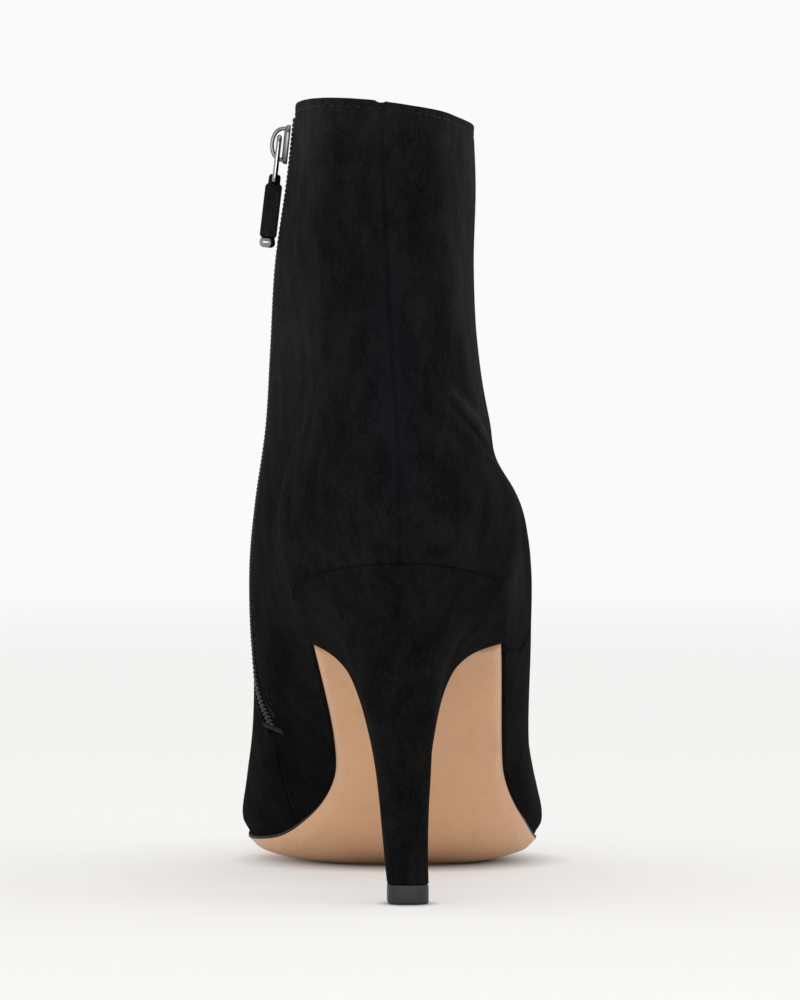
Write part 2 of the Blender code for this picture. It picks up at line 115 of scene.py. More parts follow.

# Heel
TIP_WIDTH = 0.0102
TIP_DEPTH = 0.0100
TIP_CORNER = 0.0034  # rounding of the tip's back corners
TIP_BACK = 0.3  # share of its outline along the back
TIP_TURN = 0.4  # and round the corner
TIP_EASING = 0.0004  # rounding of its lower edge
TOP_PIECE = 0.0049  # height of the top piece
HEEL_STEPS = 40  # from the middle of the heel's back to its breast corner
BREAST_STRIPS = 12
HEEL_LOOPS = 91
DENT = (-0.0027, 0.028)  # a small dent in the back of the heel: across and up
DENT_DEEP = 0.00035
DENT_WIDE = 0.0007

# Seams and edges of the upper
BACK_RUN = 0.118  # along the back, from the feather edge to the collar
COLLAR_STITCH = 0.0017  # topstitching below the collar
ZIP_STITCH = 0.0021  # and beside the zip's slot
TACK_STITCHES = 15  # in the bar tack at the zip's lower end
TACK_HALF = 0.0036  # half its width
TACK_LONG = 0.0021
TACK_THREAD = 0.00066
TACK_BELOW = 0.0006  # its middle below the zip's lower end
TACK_PROUD = 0.0002
STITCH_CLEAR = 0.012  # levels that the zip's topstitching keeps from its ends
SEAM_FADE = 0.02  # levels over which a seam or the lower edge runs out

# Zip
ZIP_END = 0.17  # level of the zip's lower end
ZIP_TOP = 0.985  # level of its upper end
SLOT_HALF = 0.0030
SLIDER_LEVEL = 0.945
SLIDER_LONG = 0.0100
SLIDER_WIDE = 0.0066
SLIDER_CORNER = 0.0022
SLIDER_LOW = 0.0006  # underside of its plate above the upper
TAPE_DEEP = 0.0012  # underside of the tape below the upper
TAPE_HIGH = 0.0003  # its middle below the upper
TAPE_FALL = 0.0002  # how far it falls off to its edges
TAPE_OVER = 0.0002  # how far it runs in under the slot's edges
TAPE_CLEAR = 0.0025  # levels between the slot's lower end and the tape
TAPE_TOP = 0.999  # level of its upper end
TOOTH_WIDE = 0.0015
TOOTH_HIGH = 0.0010
TOOTH_SHARE = 0.62  # of the way from one tooth to the next
TOOTH_ASIDE = 0.00072  # its middle from the middle of the zip
TOOTH_PROUD = 0.0001
TOOTH_BEVEL = 0.00022
LINK_LONG = 0.0128
LINK_WIDE = 0.0052
LINK_CORNER = 0.0012
WIRE = 0.0013
TAB_LONG = 0.0160
TAB_WIDE = 0.0052
TAB_DEEP = 0.0043
TAB_CORNER = 0.0009
TAB_OVER = 0.0021  # from the middle of the link's lower bar up to the top of the tab
BEAD_WIDE = 0.0042
BEAD_DEEP = 0.0040
BEAD_CORNER = 0.0012
PULL_LEAN = math.radians(0.6)  # from the slider's own slope, so that the pull hangs along the shaft
BRIDGE_FOOT = 0.0024  # top of the slider's plate above the upper
BRIDGE_TOP = 0.0058
BRIDGE_HALF = 0.0040  # half its length along the zip
BRIDGE_SUNK = 0.0006  # how far its feet reach into the plate
BRIDGE_WIDE = 0.0022
BRIDGE_THICK = 0.0010
BRIDGE_CORNER = 0.00042
PIVOT = (0.0016, 0.0035)  # the link's upper bar, up along the zip and out

# The bottom of the last, seen from the side
SoleRow = namedtuple("SoleRow", "along height")  # percent of LENGTH from the back, percent of HEEL_HEIGHT
SOLE_ROWS = [
    SoleRow(2.1, 100.0),
    SoleRow(11.0, 92.9),
    SoleRow(24.5, 73.8),
    SoleRow(34.0, 56.5),
    SoleRow(44.7, 35.9),
    SoleRow(53.2, 20.6),
    SoleRow(61.7, 11.3),
    SoleRow(68.1, 8.7),
    SoleRow(74.5, 8.5),
    SoleRow(83.0, 10.1),
    SoleRow(91.5, 13.5),
    SoleRow(99.2, 17.4),
]

# Rings of the upper from the feather edge up to the collar. Each runs from a point on the back curve to a
# point on the ridge of the vamp: "along" in percent of LENGTH from the back, "rise" in percent of the way
# from the seat to the collar, "height" in percent of COLLAR_HEIGHT. "sag" is how much of the sole's own
# curve it follows and "tilt" lifts its inner side, in percent of BALL_WIDTH.
RingLine = namedtuple("RingLine", "name back_along back_rise front_along front_height sag tilt")
RING_LINES = [
    RingLine("feather", 2.1, 0.0, 99.2, 7.47, 1.0, 0),
    RingLine("rand", 0.9, 5.3, 100.0, 10.1, 1.0, 0),
    RingLine("wall", 0.0, 14.0, 98.3, 13.9, 0.88, 0),
    RingLine("toe_box", 0.3, 22.8, 92.8, 17.4, 0.68, 0),
    RingLine("vamp", 1.0, 31.6, 81.3, 23.0, 0.42, 0),
    RingLine("joints", 1.8, 42.1, 68.9, 31.6, 0.18, 0),
    RingLine("instep", 2.4, 53.5, 58.3, 44.4, 0.05, 0),
    RingLine("bend", 2.7, 65.8, 52.6, 58.1, 0.0, 0),
    RingLine("ankle", 2.6, 78.1, 49.4, 72.7, 0.0, 0.7),
    RingLine("shaft", 2.2, 89.5, 47.2, 87.4, 0.0, 1.8),
    RingLine("collar", 1.7, 100.0, 45.5, 98.8, 0.0, 3.2),
]

# Middle line and half width of each ring at seven stations along it, in percent of BALL_WIDTH.
# Stations: back, heel, waist, shank, ball, toe box and toe, as shares of the ring's length
STATIONS = (0.06, 0.20, 0.44, 0.58, 0.73, 0.86, 0.95)
Width = namedtuple("Width", "name mid half")
RING_WIDTHS = [
    Width("feather", (-3.2, 0.7, 7.3, 6.4, 0.6, -3.6, -5.6), (26.2, 30.5, 28.0, 37.4, 46.4, 35.2, 19.0)),
    Width("rand", (-3.2, 0.0, 4.3, 3.8, 0.6, -3.8, -5.9), (28.6, 34.0, 33.8, 42.2, 49.2, 37.6, 21.4)),
    Width("wall", (-3.4, -1.2, -0.2, -0.4, 0.0, -3.0, -5.5), (29.3, 36.5, 41.8, 44.8, 46.6, 35.8, 19.6)),
    Width("toe_box", (-3.7, -2.2, -1.5, -1.1, -0.8, -3.0, -4.9), (27.7, 35.6, 44.0, 44.1, 41.6, 30.8, 17.2)),
    Width("vamp", (-4.3, -3.2, -2.6, -2.1, -1.8, -2.8, -3.7), (23.5, 32.2, 43.6, 43.0, 38.8, 27.8, 16.2)),
    Width("joints", (-5.2, -4.6, -5.0, -4.3, -3.5, -3.2, -3.0), (19.7, 28.8, 39.4, 39.2, 35.4, 26.4, 15.9)),
    Width("instep", (-6.1, -6.1, -7.2, -6.7, -5.9, -4.6, -3.7), (17.4, 25.8, 34.2, 34.0, 30.6, 23.5, 14.6)),
    Width("bend", (-6.8, -7.2, -8.5, -8.2, -7.7, -6.8, -6.1), (16.3, 24.4, 31.6, 31.1, 27.8, 21.5, 13.4)),
    Width("ankle", (-7.6, -8.0, -8.5, -8.4, -8.0, -7.4, -7.0), (15.7, 23.5, 30.2, 29.7, 26.6, 20.6, 12.8)),
    Width("shaft", (-8.3, -7.6, -6.6, -6.5, -6.4, -6.3, -6.2), (15.3, 22.9, 28.7, 28.1, 25.1, 19.5, 12.2)),
    Width("collar", (-8.8, -7.7, -5.9, -5.7, -5.5, -5.5, -5.5), (15.0, 22.3, 27.2, 26.6, 23.6, 18.4, 11.6)),
]
Ring = namedtuple("Ring", RingLine._fields + ("mid", "half"))
RINGS = [Ring(*line, width.mid, width.half) for line, width in zip(RING_LINES, RING_WIDTHS)]

# The heel from its seat down to the tip, in percent of the way: "fall" of the height, "rear" and "front" of
# the narrowing beside the back and beside the breast, "back" and "breast" of the run of those two lines.
# "sway" is its shift towards the inner side in percent of BALL_WIDTH.
HeelRow = namedtuple("HeelRow", "fall rear front back breast sway")
HEEL_ROWS = [
    HeelRow(0.0, 0.0, 0.0, 0.0, 0.0, 0.0),
    HeelRow(1.2, 1.5, 13.0, 1.5, 10.0, 0.6),
    HeelRow(3.5, 5.0, 31.0, 7.0, 25.0, 1.5),
    HeelRow(7.0, 11.5, 47.0, 16.0, 40.0, 1.9),
    HeelRow(12.2, 22.0, 60.5, 30.0, 55.0, 2.0),
    HeelRow(22.5, 43.0, 73.5, 52.0, 71.0, 2.0),
    HeelRow(36.4, 66.0, 83.7, 71.0, 82.0, 1.7),
    HeelRow(50.0, 81.5, 90.5, 83.0, 88.5, 1.4),
    HeelRow(63.6, 90.5, 94.0, 90.0, 93.0, 1.0),
    HeelRow(77.6, 96.0, 97.0, 95.0, 96.5, 0.8),
    HeelRow(91.6, 98.8, 99.2, 99.0, 99.0, 0.4),
    HeelRow(100.0, 100.0, 100.0, 100.0, 100.0, 0.0),
]

# Where the zip with the seam below it and the outer side seam run, as shares of the ring's length
LineRow = namedtuple("LineRow", "level share")
ZIP_ROWS = [
    LineRow(0.0, 0.584),
    LineRow(0.08, 0.548),
    LineRow(0.132, 0.522),
    LineRow(0.17, 0.478),
    LineRow(0.3, 0.480),
    LineRow(0.6, 0.490),
    LineRow(1.0, 0.500),
]
SIDE_ROWS = [
    LineRow(0.0, 0.238),
    LineRow(0.08, 0.278),
    LineRow(0.18, 0.340),
    LineRow(0.30, 0.405),
    LineRow(0.6, 0.480),
    LineRow(1.0, 0.500),
]

# The tab from its eye to its lower end: place along it, width and depth, in percent of its own sizes
TabRow = namedtuple("TabRow", "along wide deep")
TAB_ROWS = [
    TabRow(0.0, 40.0, 55.0),
    TabRow(4.0, 48.0, 70.0),
    TabRow(15.0, 48.0, 71.0),
    TabRow(18.0, 92.0, 95.0),
    TabRow(21.0, 100.0, 100.0),
    TabRow(96.0, 100.0, 100.0),
    TabRow(100.0, 90.0, 90.0),
]

# The slider's plate from its underside up: how far below its top, and how far its outline is drawn in
PlateRow = namedtuple("PlateRow", "under inset")
PLATE_ROWS = [
    PlateRow(BRIDGE_FOOT - SLIDER_LOW - GAP, 0.0),
    PlateRow(0.0006, 0.0),
    PlateRow(0.0002, 0.0004),
    PlateRow(0.0, 0.0011),
]

# The bead under the tab: distance below its top and share of its full width
BeadRow = namedtuple("BeadRow", "drop share")
BEAD_ROWS = [
    BeadRow(-0.0004, 0.86),
    BeadRow(0.0003, 0.90),
    BeadRow(0.0007, 1.0),
    BeadRow(0.0015, 1.0),
    BeadRow(0.0020, 0.88),
    BeadRow(0.0024, 0.62),
]

# Large soft lights round the boot
Lamp = namedtuple("Lamp", "name power wide tall place")
LIT = (0.0, 0.05, 0.1)  # the point that they face

# Pale paper bowl
BOWL_FLAT = 5.0  # how far it lies flat round the boot
BOWL_BEND = 3.0  # radius of the bend up from there

# Soft ridges and troughs of the suede: the side they lie on (1 outer, -1 inner), a place as share and level
# where each starts, bends and ends, its width and height in metres (below 0 for a trough) and the painted
# light along it (nap): a painted highlight on the crest above 0, painted shade in the crease below 0
Fold = namedtuple("Fold", "name side start bend end width height nap")
FOLDS = [
    Fold("outer_ankle_roll", 1, (0.034, 0.497), (0.070, 0.442), (0.160, 0.372), 0.0021, 0.00085, 2.00),
    Fold("outer_ankle_crease", 1, (0.030, 0.470), (0.063, 0.415), (0.145, 0.340), 0.0014, -0.00080, -0.70),
    Fold("inner_ankle_ridge", -1, (0.045, 0.470), (0.110, 0.380), (0.190, 0.310), 0.0045, 0.00060, 0.45),
    Fold("inner_ankle_trough", -1, (0.080, 0.530), (0.170, 0.450), (0.270, 0.390), 0.0065, -0.00065, 0.0),
    Fold("outer_instep_trough", 1, (0.62, 0.57), (0.74, 0.61), (0.90, 0.66), 0.0075, -0.00070, 0.0),
    Fold("inner_instep_trough", -1, (0.64, 0.58), (0.76, 0.62), (0.90, 0.66), 0.0075, -0.00070, 0.0),
    Fold("outer_vamp_ripple", 1, (0.50, 0.36), (0.62, 0.44), (0.76, 0.50), 0.0085, -0.00045, 0.0),
]

# Form of the outer ankle by height above the floor: a soft swell along the stiff counter, a hollow above it
Swell = namedtuple("Swell", "rise width height")
ANKLE_SWELLS = [Swell(0.0965, 0.0090, 0.0010), Swell(0.1110, 0.0062, -0.0016)]

# Painted light on the suede, as a factor on its tone, 1 leaving it as it is
BACK_PAINTED_LIGHT = 1.15  # painted light above the heel
FOOT_PAINTED_SHADE = 0.62  # painted shade along the foot
INNER_PAINTED_SHEEN = 1.75  # painted sheen on the inner side of the shaft
OUTER_PAINTED_SHEEN = 2.05  # painted sheen on its outer side
COLLAR_LIGHTER = 1.35  # how much lighter at the collar


def smooth_through(places, values, at, level_ends=False):
    """A smooth curve through values at the given places, held at its end values outside them.

    level_ends lets it reach those end values without a corner.
    """
    if at <= places[0]:
        return values[0]
    if at >= places[-1]:
        return values[-1]
    k = max(i for i, place in enumerate(places) if place <= at)

    def slope(i):
        if level_ends and i in (0, len(places) - 1):
            return 0.0
        low = max(i - 1, 0)
        high = min(i + 1, len(places) - 1)
        return (values[high] - values[low]) / (places[high] - places[low])

    span = places[k + 1] - places[k]
    s = (at - places[k]) / span
    return (
        (2 * s**3 - 3 * s**2 + 1) * values[k]
        + (s**3 - 2 * s**2 + s) * span * slope(k)
        + (3 * s**2 - 2 * s**3) * values[k + 1]
        + (s**3 - s**2) * span * slope(k + 1)
    )


def mix(a, b, share):
    """A value on the way from one to another."""
    return a + (b - a) * share


def ease(value):
    """A soft step from 0 to 1."""
    value = min(max(value, 0.0), 1.0)
    return value * value * (3 - 2 * value)


def ramp(value, start, run):
    """A soft step from 0 at the start to 1 at the end of a run."""
    return ease((value - start) / run)


def hump(distance, width):
    """1 at no distance, falling off softly over the width."""
    return math.exp(-((distance / width) ** 2))


def along_y(percent):
    """The y of a place along the foot, in percent of LENGTH from the back."""
    return percent / 100 * LENGTH - HEEL_SET


SOLE_PLACES = [along_y(row.along) for row in SOLE_ROWS]
SOLE_HEIGHTS = [row.height / 100 * HEEL_HEIGHT for row in SOLE_ROWS]


def sole_z(y):
    """Height of the last's bottom edge above the floor."""
    return smooth_through(SOLE_PLACES, SOLE_HEIGHTS, y)


def sole_bow(y):
    """How far the sole's curve lies above the straight line between its ends."""
    back = SOLE_PLACES[0]
    toe = SOLE_PLACES[-1]
    return sole_z(y) - mix(sole_z(back), sole_z(toe), (y - back) / (toe - back))


@lru_cache(maxsize=None)
def ring_at(level):
    """The ring at a level from 0, the feather edge, to 1, the collar, in metres."""
    places = [i / (len(RINGS) - 1) for i in range(len(RINGS))]

    def column(pick):
        return smooth_through(places, [pick(ring) for ring in RINGS], level)

    rise = COLLAR_HEIGHT - HEEL_HEIGHT
    return Ring(
        "",
        along_y(column(lambda ring: ring.back_along)),
        HEEL_HEIGHT + rise * column(lambda ring: ring.back_rise) / 100,
        along_y(column(lambda ring: ring.front_along)),
        COLLAR_HEIGHT * column(lambda ring: ring.front_height) / 100,
        column(lambda ring: ring.sag),
        column(lambda ring: ring.tilt) / 100 * BALL_WIDTH,
        [column(lambda ring, k=k: ring.mid[k]) / 100 * BALL_WIDTH for k in range(len(STATIONS))],
        [column(lambda ring, k=k: ring.half[k]) / 100 * BALL_WIDTH for k in range(len(STATIONS))],
    )


def ring_point(ring, turn, spread=0.0):
    """A point of a ring, spread outward. turn is 0 at the back, pi at the toe, along the inner side."""
    share = (1 - math.cos(turn)) / 2
    y = mix(ring.back_along - spread, ring.front_along + spread, share)
    bow = sole_bow(y) - mix(sole_bow(ring.back_along), sole_bow(ring.front_along), share)
    z = mix(ring.back_rise, ring.front_height, share) + ring.sag * bow + ring.tilt * math.sin(turn)
    fullness = [(half + spread) / (2 * math.sqrt(s * (1 - s))) for half, s in zip(ring.half, STATIONS)]
    middle = smooth_through(STATIONS, ring.mid, share, True)
    return Vector((middle - smooth_through(STATIONS, fullness, share, True) * math.sin(turn), y, z))


def upper_point(turn, level):
    """A point of the upper's outer side."""
    return ring_point(ring_at(level), turn)


def turn_at(share):
    """The turn on the inner side at a share of the ring's length."""
    return math.acos(1 - 2 * share)


def line_turn(rows, level):
    """The turn of a line drawn on the upper, on the inner side."""
    return turn_at(smooth_through([row.level for row in rows], [row.share for row in rows], level))


def zip_turn(level):
    """The turn of the middle of the zip and of the seam below it."""
    return line_turn(ZIP_ROWS, level)


def side_turn(level):
    """The turn of the outer side seam."""
    return 2 * math.pi - line_turn(SIDE_ROWS, level)


def line_frame(turn_of, level):
    """A drawn line's place at a level, the ways forward across it, up along it and out of the boot."""
    here = upper_point(turn_of(level), level)
    ring = upper_point(turn_of(level) + 0.02, level) - upper_point(turn_of(level) - 0.02, level)
    high = min(level + 0.01, 1.0)
    up = upper_point(turn_of(high), high) - upper_point(turn_of(high - 0.02), high - 0.02)
    up.normalize()
    out = up.cross(ring).normalized()
    return here, out.cross(up), up, out


def zip_frame(level):
    """The zip's place at a level and its ways forward, up and out."""
    return line_frame(zip_turn, level)


def slot_turn(level):
    """How far the edges of the zip's slot lie from its middle, as a turn."""
    across = zip_frame(level)[1]
    ring = upper_point(zip_turn(level) + 0.02, level) - upper_point(zip_turn(level) - 0.02, level)
    return SLOT_HALF / (ring.dot(across) / 0.04)


def frame_matrix(here, across, up, out):
    """A frame whose x runs across, y up along a line and z out of the boot."""
    turned = Matrix((across, up, out)).transposed().to_4x4()
    turned.translation = here
    return turned


def even_places(spot, count, spacing):
    """Parameters from 0 to 1 that lie the same distance apart along a path."""
    points = [spot(i / count) for i in range(count + 1)]
    lengths = [0.0]
    for before, after in zip(points, points[1:]):
        lengths.append(lengths[-1] + (after - before).length)
    steps = max(int(lengths[-1] / spacing), 1)
    places = []
    k = 0
    for step in range(steps + 1):
        aim = lengths[-1] * step / steps
        while k < count - 1 and lengths[k + 1] < aim:
            k += 1
        span = lengths[k + 1] - lengths[k]
        places.append((k + (aim - lengths[k]) / span) / count)
    return places


class BootSizes(bpy.types.PropertyGroup):
    """Sizes of the visible make of the boot."""

    wall: FloatProperty(
        name="Wall", description="Suede and lining together", default=WALL, unit="LENGTH", precision=4)
    rolled_edge: FloatProperty(
        name="Rolled edge", description="Rounding of the collar and of the suede beside the zip",
        default=0.0006, unit="LENGTH", precision=4)
    turned_under: FloatProperty(
        name="Turned under", description="How far the suede turns in under the foot",
        default=0.0021, unit="LENGTH", precision=4)
    seam_depth: FloatProperty(
        name="Seam depth", description="How far a closed seam sinks in",
        default=0.00050, unit="LENGTH", precision=5)
    fold_strength: FloatProperty(
        name="Folds", description="Strength of the soft folds in the suede", default=1.0, subtype="FACTOR")
    stitch_long: FloatProperty(
        name="Stitch", description="Length of one stitch", default=0.0019, unit="LENGTH", precision=4)
    stitch_gap: FloatProperty(
        name="Stitch gap", description="Between two stitches", default=0.0007, unit="LENGTH", precision=4)
    thread: FloatProperty(
        name="Thread", description="Thickness of the sewing thread",
        default=0.00042, unit="LENGTH", precision=5)
    tooth_pitch: FloatProperty(
        name="Tooth pitch", description="From one zip tooth to the next on the same side",
        default=0.0012, unit="LENGTH", precision=4)
    rim: FloatProperty(
        name="Sole rim", description="Height of the painted edge of the sole",
        default=0.0008, unit="LENGTH", precision=4)
    sole_bevel: FloatProperty(
        name="Sole bevel", description="Rounding of the sole's edges",
        default=0.0003, unit="LENGTH", precision=4)
    heel_bevel: FloatProperty(
        name="Heel rounding", description="Rounding of the heel's covered edges",
        default=0.0005, unit="LENGTH", precision=4)


class BootColours(bpy.types.PropertyGroup):
    """Colours of the boot's finishes."""

    suede: FloatVectorProperty(
        name="Suede", description="Nap lying down", subtype="COLOR", default=(0.0024, 0.0024, 0.0026))
    suede_brushed: FloatVectorProperty(
        name="Brushed suede", description="Nap standing up", subtype="COLOR",
        default=(0.0112, 0.0111, 0.0116))
    sole: FloatVectorProperty(
        name="Sole leather", description="Smooth tan leather", subtype="COLOR",
        default=(0.575, 0.322, 0.170))
    edge_paint: FloatVectorProperty(
        name="Edge paint", description="Paint on the sole's edge", subtype="COLOR",
        default=(0.010, 0.010, 0.011))
    lining: FloatVectorProperty(
        name="Lining", description="Lining leather", subtype="COLOR", default=(0.52, 0.40, 0.29))
    sock: FloatVectorProperty(
        name="Sock", description="Leather over the insole", subtype="COLOR", default=(0.55, 0.42, 0.31))
    top_piece: FloatVectorProperty(
        name="Top piece", description="Hard plastic under the heel", subtype="COLOR",
        default=(0.026, 0.027, 0.029))
    tape: FloatVectorProperty(
        name="Zip tape", description="Woven tape", subtype="COLOR", default=(0.010, 0.010, 0.011))
    teeth: FloatVectorProperty(
        name="Zip teeth", description="Dark metal of the teeth", subtype="COLOR",
        default=(0.020, 0.020, 0.022))
    slider: FloatVectorProperty(
        name="Slider metal", description="Darker metal of the slider", subtype="COLOR",
        default=(0.17, 0.17, 0.18))
    metal: FloatVectorProperty(
        name="Bright metal", description="Link and bead", subtype="COLOR", default=(0.27, 0.27, 0.285))
    thread: FloatVectorProperty(
        name="Thread", description="Sewing thread", subtype="COLOR", default=(0.0120, 0.0120, 0.0130))


class BootStage(bpy.types.PropertyGroup):
    """Floor, light and camera."""

    floor: FloatVectorProperty(
        name="Floor", description="Paper under the boot", subtype="COLOR", default=(0.52, 0.52, 0.52))
    glow: FloatVectorProperty(
        name="Floor glow", description="Light that shines through the paper", subtype="COLOR",
        default=(0.40, 0.395, 0.39))
    # Painted contact shadow: the paper's glow is kept off round where the sole and the heel tip rest
    sole_rest: FloatVectorProperty(
        name="Sole rest", description="How far round the sole's rest the glow is kept off", subtype="XYZ",
        unit="LENGTH", default=(0.047, 0.049, 1.0))
    tip_rest: FloatVectorProperty(
        name="Tip rest", description="How far round the heel tip the glow is kept off", subtype="XYZ",
        unit="LENGTH", default=(0.008, 0.012, 1.0))
    backdrop: FloatVectorProperty(
        name="Backdrop", description="Glow of the paper far from the boot", subtype="COLOR",
        default=(0.955, 0.955, 0.957))
    room: FloatProperty(name="Room light", description="Strength of the even light from above", default=0.75)
    key: FloatProperty(
        name="Key light", description="Power of the soft light above", default=8.0, unit="POWER")
    fill: FloatProperty(
        name="Fill light", description="Power of the low light beside the camera",
        default=12.0, unit="POWER")
    left: FloatProperty(
        name="Left light", description="Power of the light on the inner side", default=1.2, unit="POWER")
    right: FloatProperty(
        name="Right light", description="Power of the light on the outer side", default=4.0, unit="POWER")
    distance: FloatProperty(
        name="Camera distance", description="Behind the heel tip", default=1.5, unit="LENGTH")
    camera_x: FloatProperty(
        name="Camera across", description="Sideways from the heel tip",
        default=-0.0523, unit="LENGTH", precision=4)
    camera_z: FloatProperty(
        name="Camera height", description="Above the floor", default=0.1216, unit="LENGTH", precision=4)
    lens: FloatProperty(name="Lens", description="Focal length", default=218.0, unit="CAMERA")


def weave(bm, across, along, place):
    """A grid of across by along cells, each corner put in place by its column and row.

    Returns the layers that hold the columns and the rows.
    """
    column_of = bm.verts.layers.int.get("column") or bm.verts.layers.int.new("column")
    row_of = bm.verts.layers.int.get("row") or bm.verts.layers.int.new("row")
    laid = bm.loops.layers.uv.get("laid") or bm.loops.layers.uv.new("laid")
    made = bmesh.ops.create_grid(bm, x_segments=across, y_segments=along, size=0.5)["verts"]
    for vert in made:
        vert[column_of] = round((vert.co.x + 0.5) * across)
        vert[row_of] = round((vert.co.y + 0.5) * along)
        for loop in vert.link_loops:
            loop[laid].uv = (vert.co.x + 0.5, vert.co.y + 0.5)
    for vert in made:
        vert.co = place(vert[column_of], vert[row_of])
    return column_of, row_of


def close_up(bm):
    """Merge what collapsed to a line or a point and turn the faces outward."""
    bmesh.ops.remove_doubles(bm, verts=bm.verts, dist=2e-6)
    bmesh.ops.dissolve_degenerate(bm, dist=1e-6, edges=bm.edges)
    bmesh.ops.recalc_face_normals(bm, faces=bm.faces)


def piece(name, bm, finishes, body, slot, *nodes):
    """A finished piece that rides on a body and stands for the nodes; the slot it is given is not used."""
    for layer in ("column", "row"):
        if bm.verts.layers.int.get(layer):
            bm.verts.layers.int.remove(bm.verts.layers.int[layer])
    for face in bm.faces:
        face.smooth = True
    mesh = bpy.data.meshes.new(name)
    bm.to_mesh(mesh)
    bm.free()
    for finish in finishes:
        mesh.materials.append(finish)
    thing = bpy.data.objects.new(name, mesh)
    bpy.context.scene.collection.objects.link(thing)
    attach(thing, body)
    if nodes:
        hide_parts(*nodes)
    return thing


def rounded_edges(thing, width, segments=3, angle=50.0):
    """Round the piece's sharp edges."""
    step = thing.modifiers.new("rounded_edges", "BEVEL")
    step.width = width
    step.segments = segments
    step.limit_method = "ANGLE"
    step.angle_limit = math.radians(angle)
    step.use_clamp_overlap = True


def loft(bm, outlines):
    """A closed body through outlines of like points, its ends drawn together."""
    count = len(outlines[0])

    def place(column, row):
        outline = outlines[min(max(row - 1, 0), len(outlines) - 1)]
        if row in (0, len(outlines) + 1):
            return sum(outline, Vector()) / count
        return outline[column % count]

    weave(bm, count, len(outlines) + 1, place)
    close_up(bm)


def rounded(wide, deep, corner, steps=3):
    """A rectangle with rounded corners about the origin."""
    points = []
    for quarter in range(4):
        for step in range(steps + 1):
            angle = math.pi / 2 * (quarter + step / steps)
            x = math.copysign(wide / 2 - corner, math.cos(math.pi / 2 * quarter + math.pi / 4))
            y = math.copysign(deep / 2 - corner, math.sin(math.pi / 2 * quarter + math.pi / 4))
            points.append((x + corner * math.cos(angle), y + corner * math.sin(angle)))
    return points


def add(tree, kind, values=None, **settings):
    """A node with its settings and socket values."""
    node = tree.nodes.new(kind)
    for name, value in settings.items():
        setattr(node, name, value)
    for name, value in (values or {}).items():
        node.inputs[name].default_value = value
    return node


def new_group(name, colours, values):
    """An empty shader group that takes the named colours and values, with its entry and exit."""
    tree = bpy.data.node_groups.new(name, "ShaderNodeTree")
    sockets = [
        ("INPUT", "NodeSocketColor", colours),
        ("INPUT", "NodeSocketFloat", values),
        ("OUTPUT", "NodeSocketColor", ("Color",)),
        ("OUTPUT", "NodeSocketFloat", ("Roughness", "Height")),
    ]
    for way, kind, names in sockets:
        for socket in names:
            tree.interface.new_socket(name=socket, in_out=way, socket_type=kind)
    return tree, tree.nodes.new("NodeGroupInput"), tree.nodes.new("NodeGroupOutput")


def noise(tree, spot, scale, detail, stretch=(1.0, 1.0, 1.0), rough=0.55):
    """A noise pattern in object space, drawn out along an axis where its stretch is small."""
    mapping = add(tree, "ShaderNodeMapping", {"Scale": stretch})
    tree.links.new(spot, mapping.inputs["Vector"])
    made = add(tree, "ShaderNodeTexNoise", {"Scale": scale, "Detail": detail, "Roughness": rough})
    tree.links.new(mapping.outputs["Vector"], made.inputs["Vector"])
    return made.outputs["Fac"]


def spread_out(tree, value, low, high, to_low=0.0, to_high=1.0):
    """A value's range drawn out to another one."""
    limits = {"From Min": low, "From Max": high, "To Min": to_low, "To Max": to_high}
    made = add(tree, "ShaderNodeMapRange", limits, clamp=True)
    tree.links.new(value, made.inputs["Value"])
    return made.outputs["Result"]


def feed(tree, socket, value):
    """Give a socket a number, a colour or the output of another node."""
    if isinstance(value, (int, float, tuple)):
        socket.default_value = value
    else:
        tree.links.new(value, socket)


def maths(tree, operation, a, b):
    """Two values, sockets or numbers, put together."""
    made = add(tree, "ShaderNodeMath", operation=operation)
    feed(tree, made.inputs[0], a)
    feed(tree, made.inputs[1], b)
    return made.outputs[0]


def vector(tree, operation, a, b=None):
    """A vector worked on alone or with another one."""
    made = add(tree, "ShaderNodeVectorMath", operation=operation)
    feed(tree, made.inputs[0], a)
    if b is not None:
        feed(tree, made.inputs["Scale" if operation == "SCALE" else 1], b)
    return made.outputs["Value" if operation == "LENGTH" else "Vector"]


def tint(tree, share, a, b):
    """Two colours, sockets or values, mixed by a share."""
    made = add(tree, "ShaderNodeMix", data_type="RGBA", blend_type="MIX")
    for socket, value in ((0, share), (6, a), (7, b)):
        feed(tree, made.inputs[socket], value)
    return made.outputs[2]


# Layers of the suede's nap, wide to fine: size as features a metre, how far they are drawn out upward, the
# range of the pattern that shows, and their shares of the tone and of the relief
NapLayer = namedtuple("NapLayer", "name scale detail stretch low high tone relief")
NAP_LAYERS = [
    NapLayer("clouds", 38.0, 2.0, (1.0, 1.0, 0.60), 0.40, 0.62, 0.22, 0.0),
    NapLayer("blotches", 150.0, 4.0, (1.0, 1.0, 0.65), 0.42, 0.62, 0.28, 0.05),
    NapLayer("brush_marks", 330.0, 3.0, (1.0, 1.0, 0.22), 0.40, 0.66, 0.16, 0.20),
    NapLayer("fibres", 1500.0, 4.0, (1.0, 1.0, 0.60), 0.38, 0.66, 0.34, 0.75),
]
# Painted bluish sheen beside the seams
SEAM_SHEEN_TONE = (0.0078, 0.0078, 0.0112, 1.0)
LINT_TONE = (0.20, 0.20, 0.20, 1.0)
LINT_SCARCE = 0.975  # share of the places that stay clean
SCUFF_TONE = (0.10, 0.06, 0.035, 1.0)


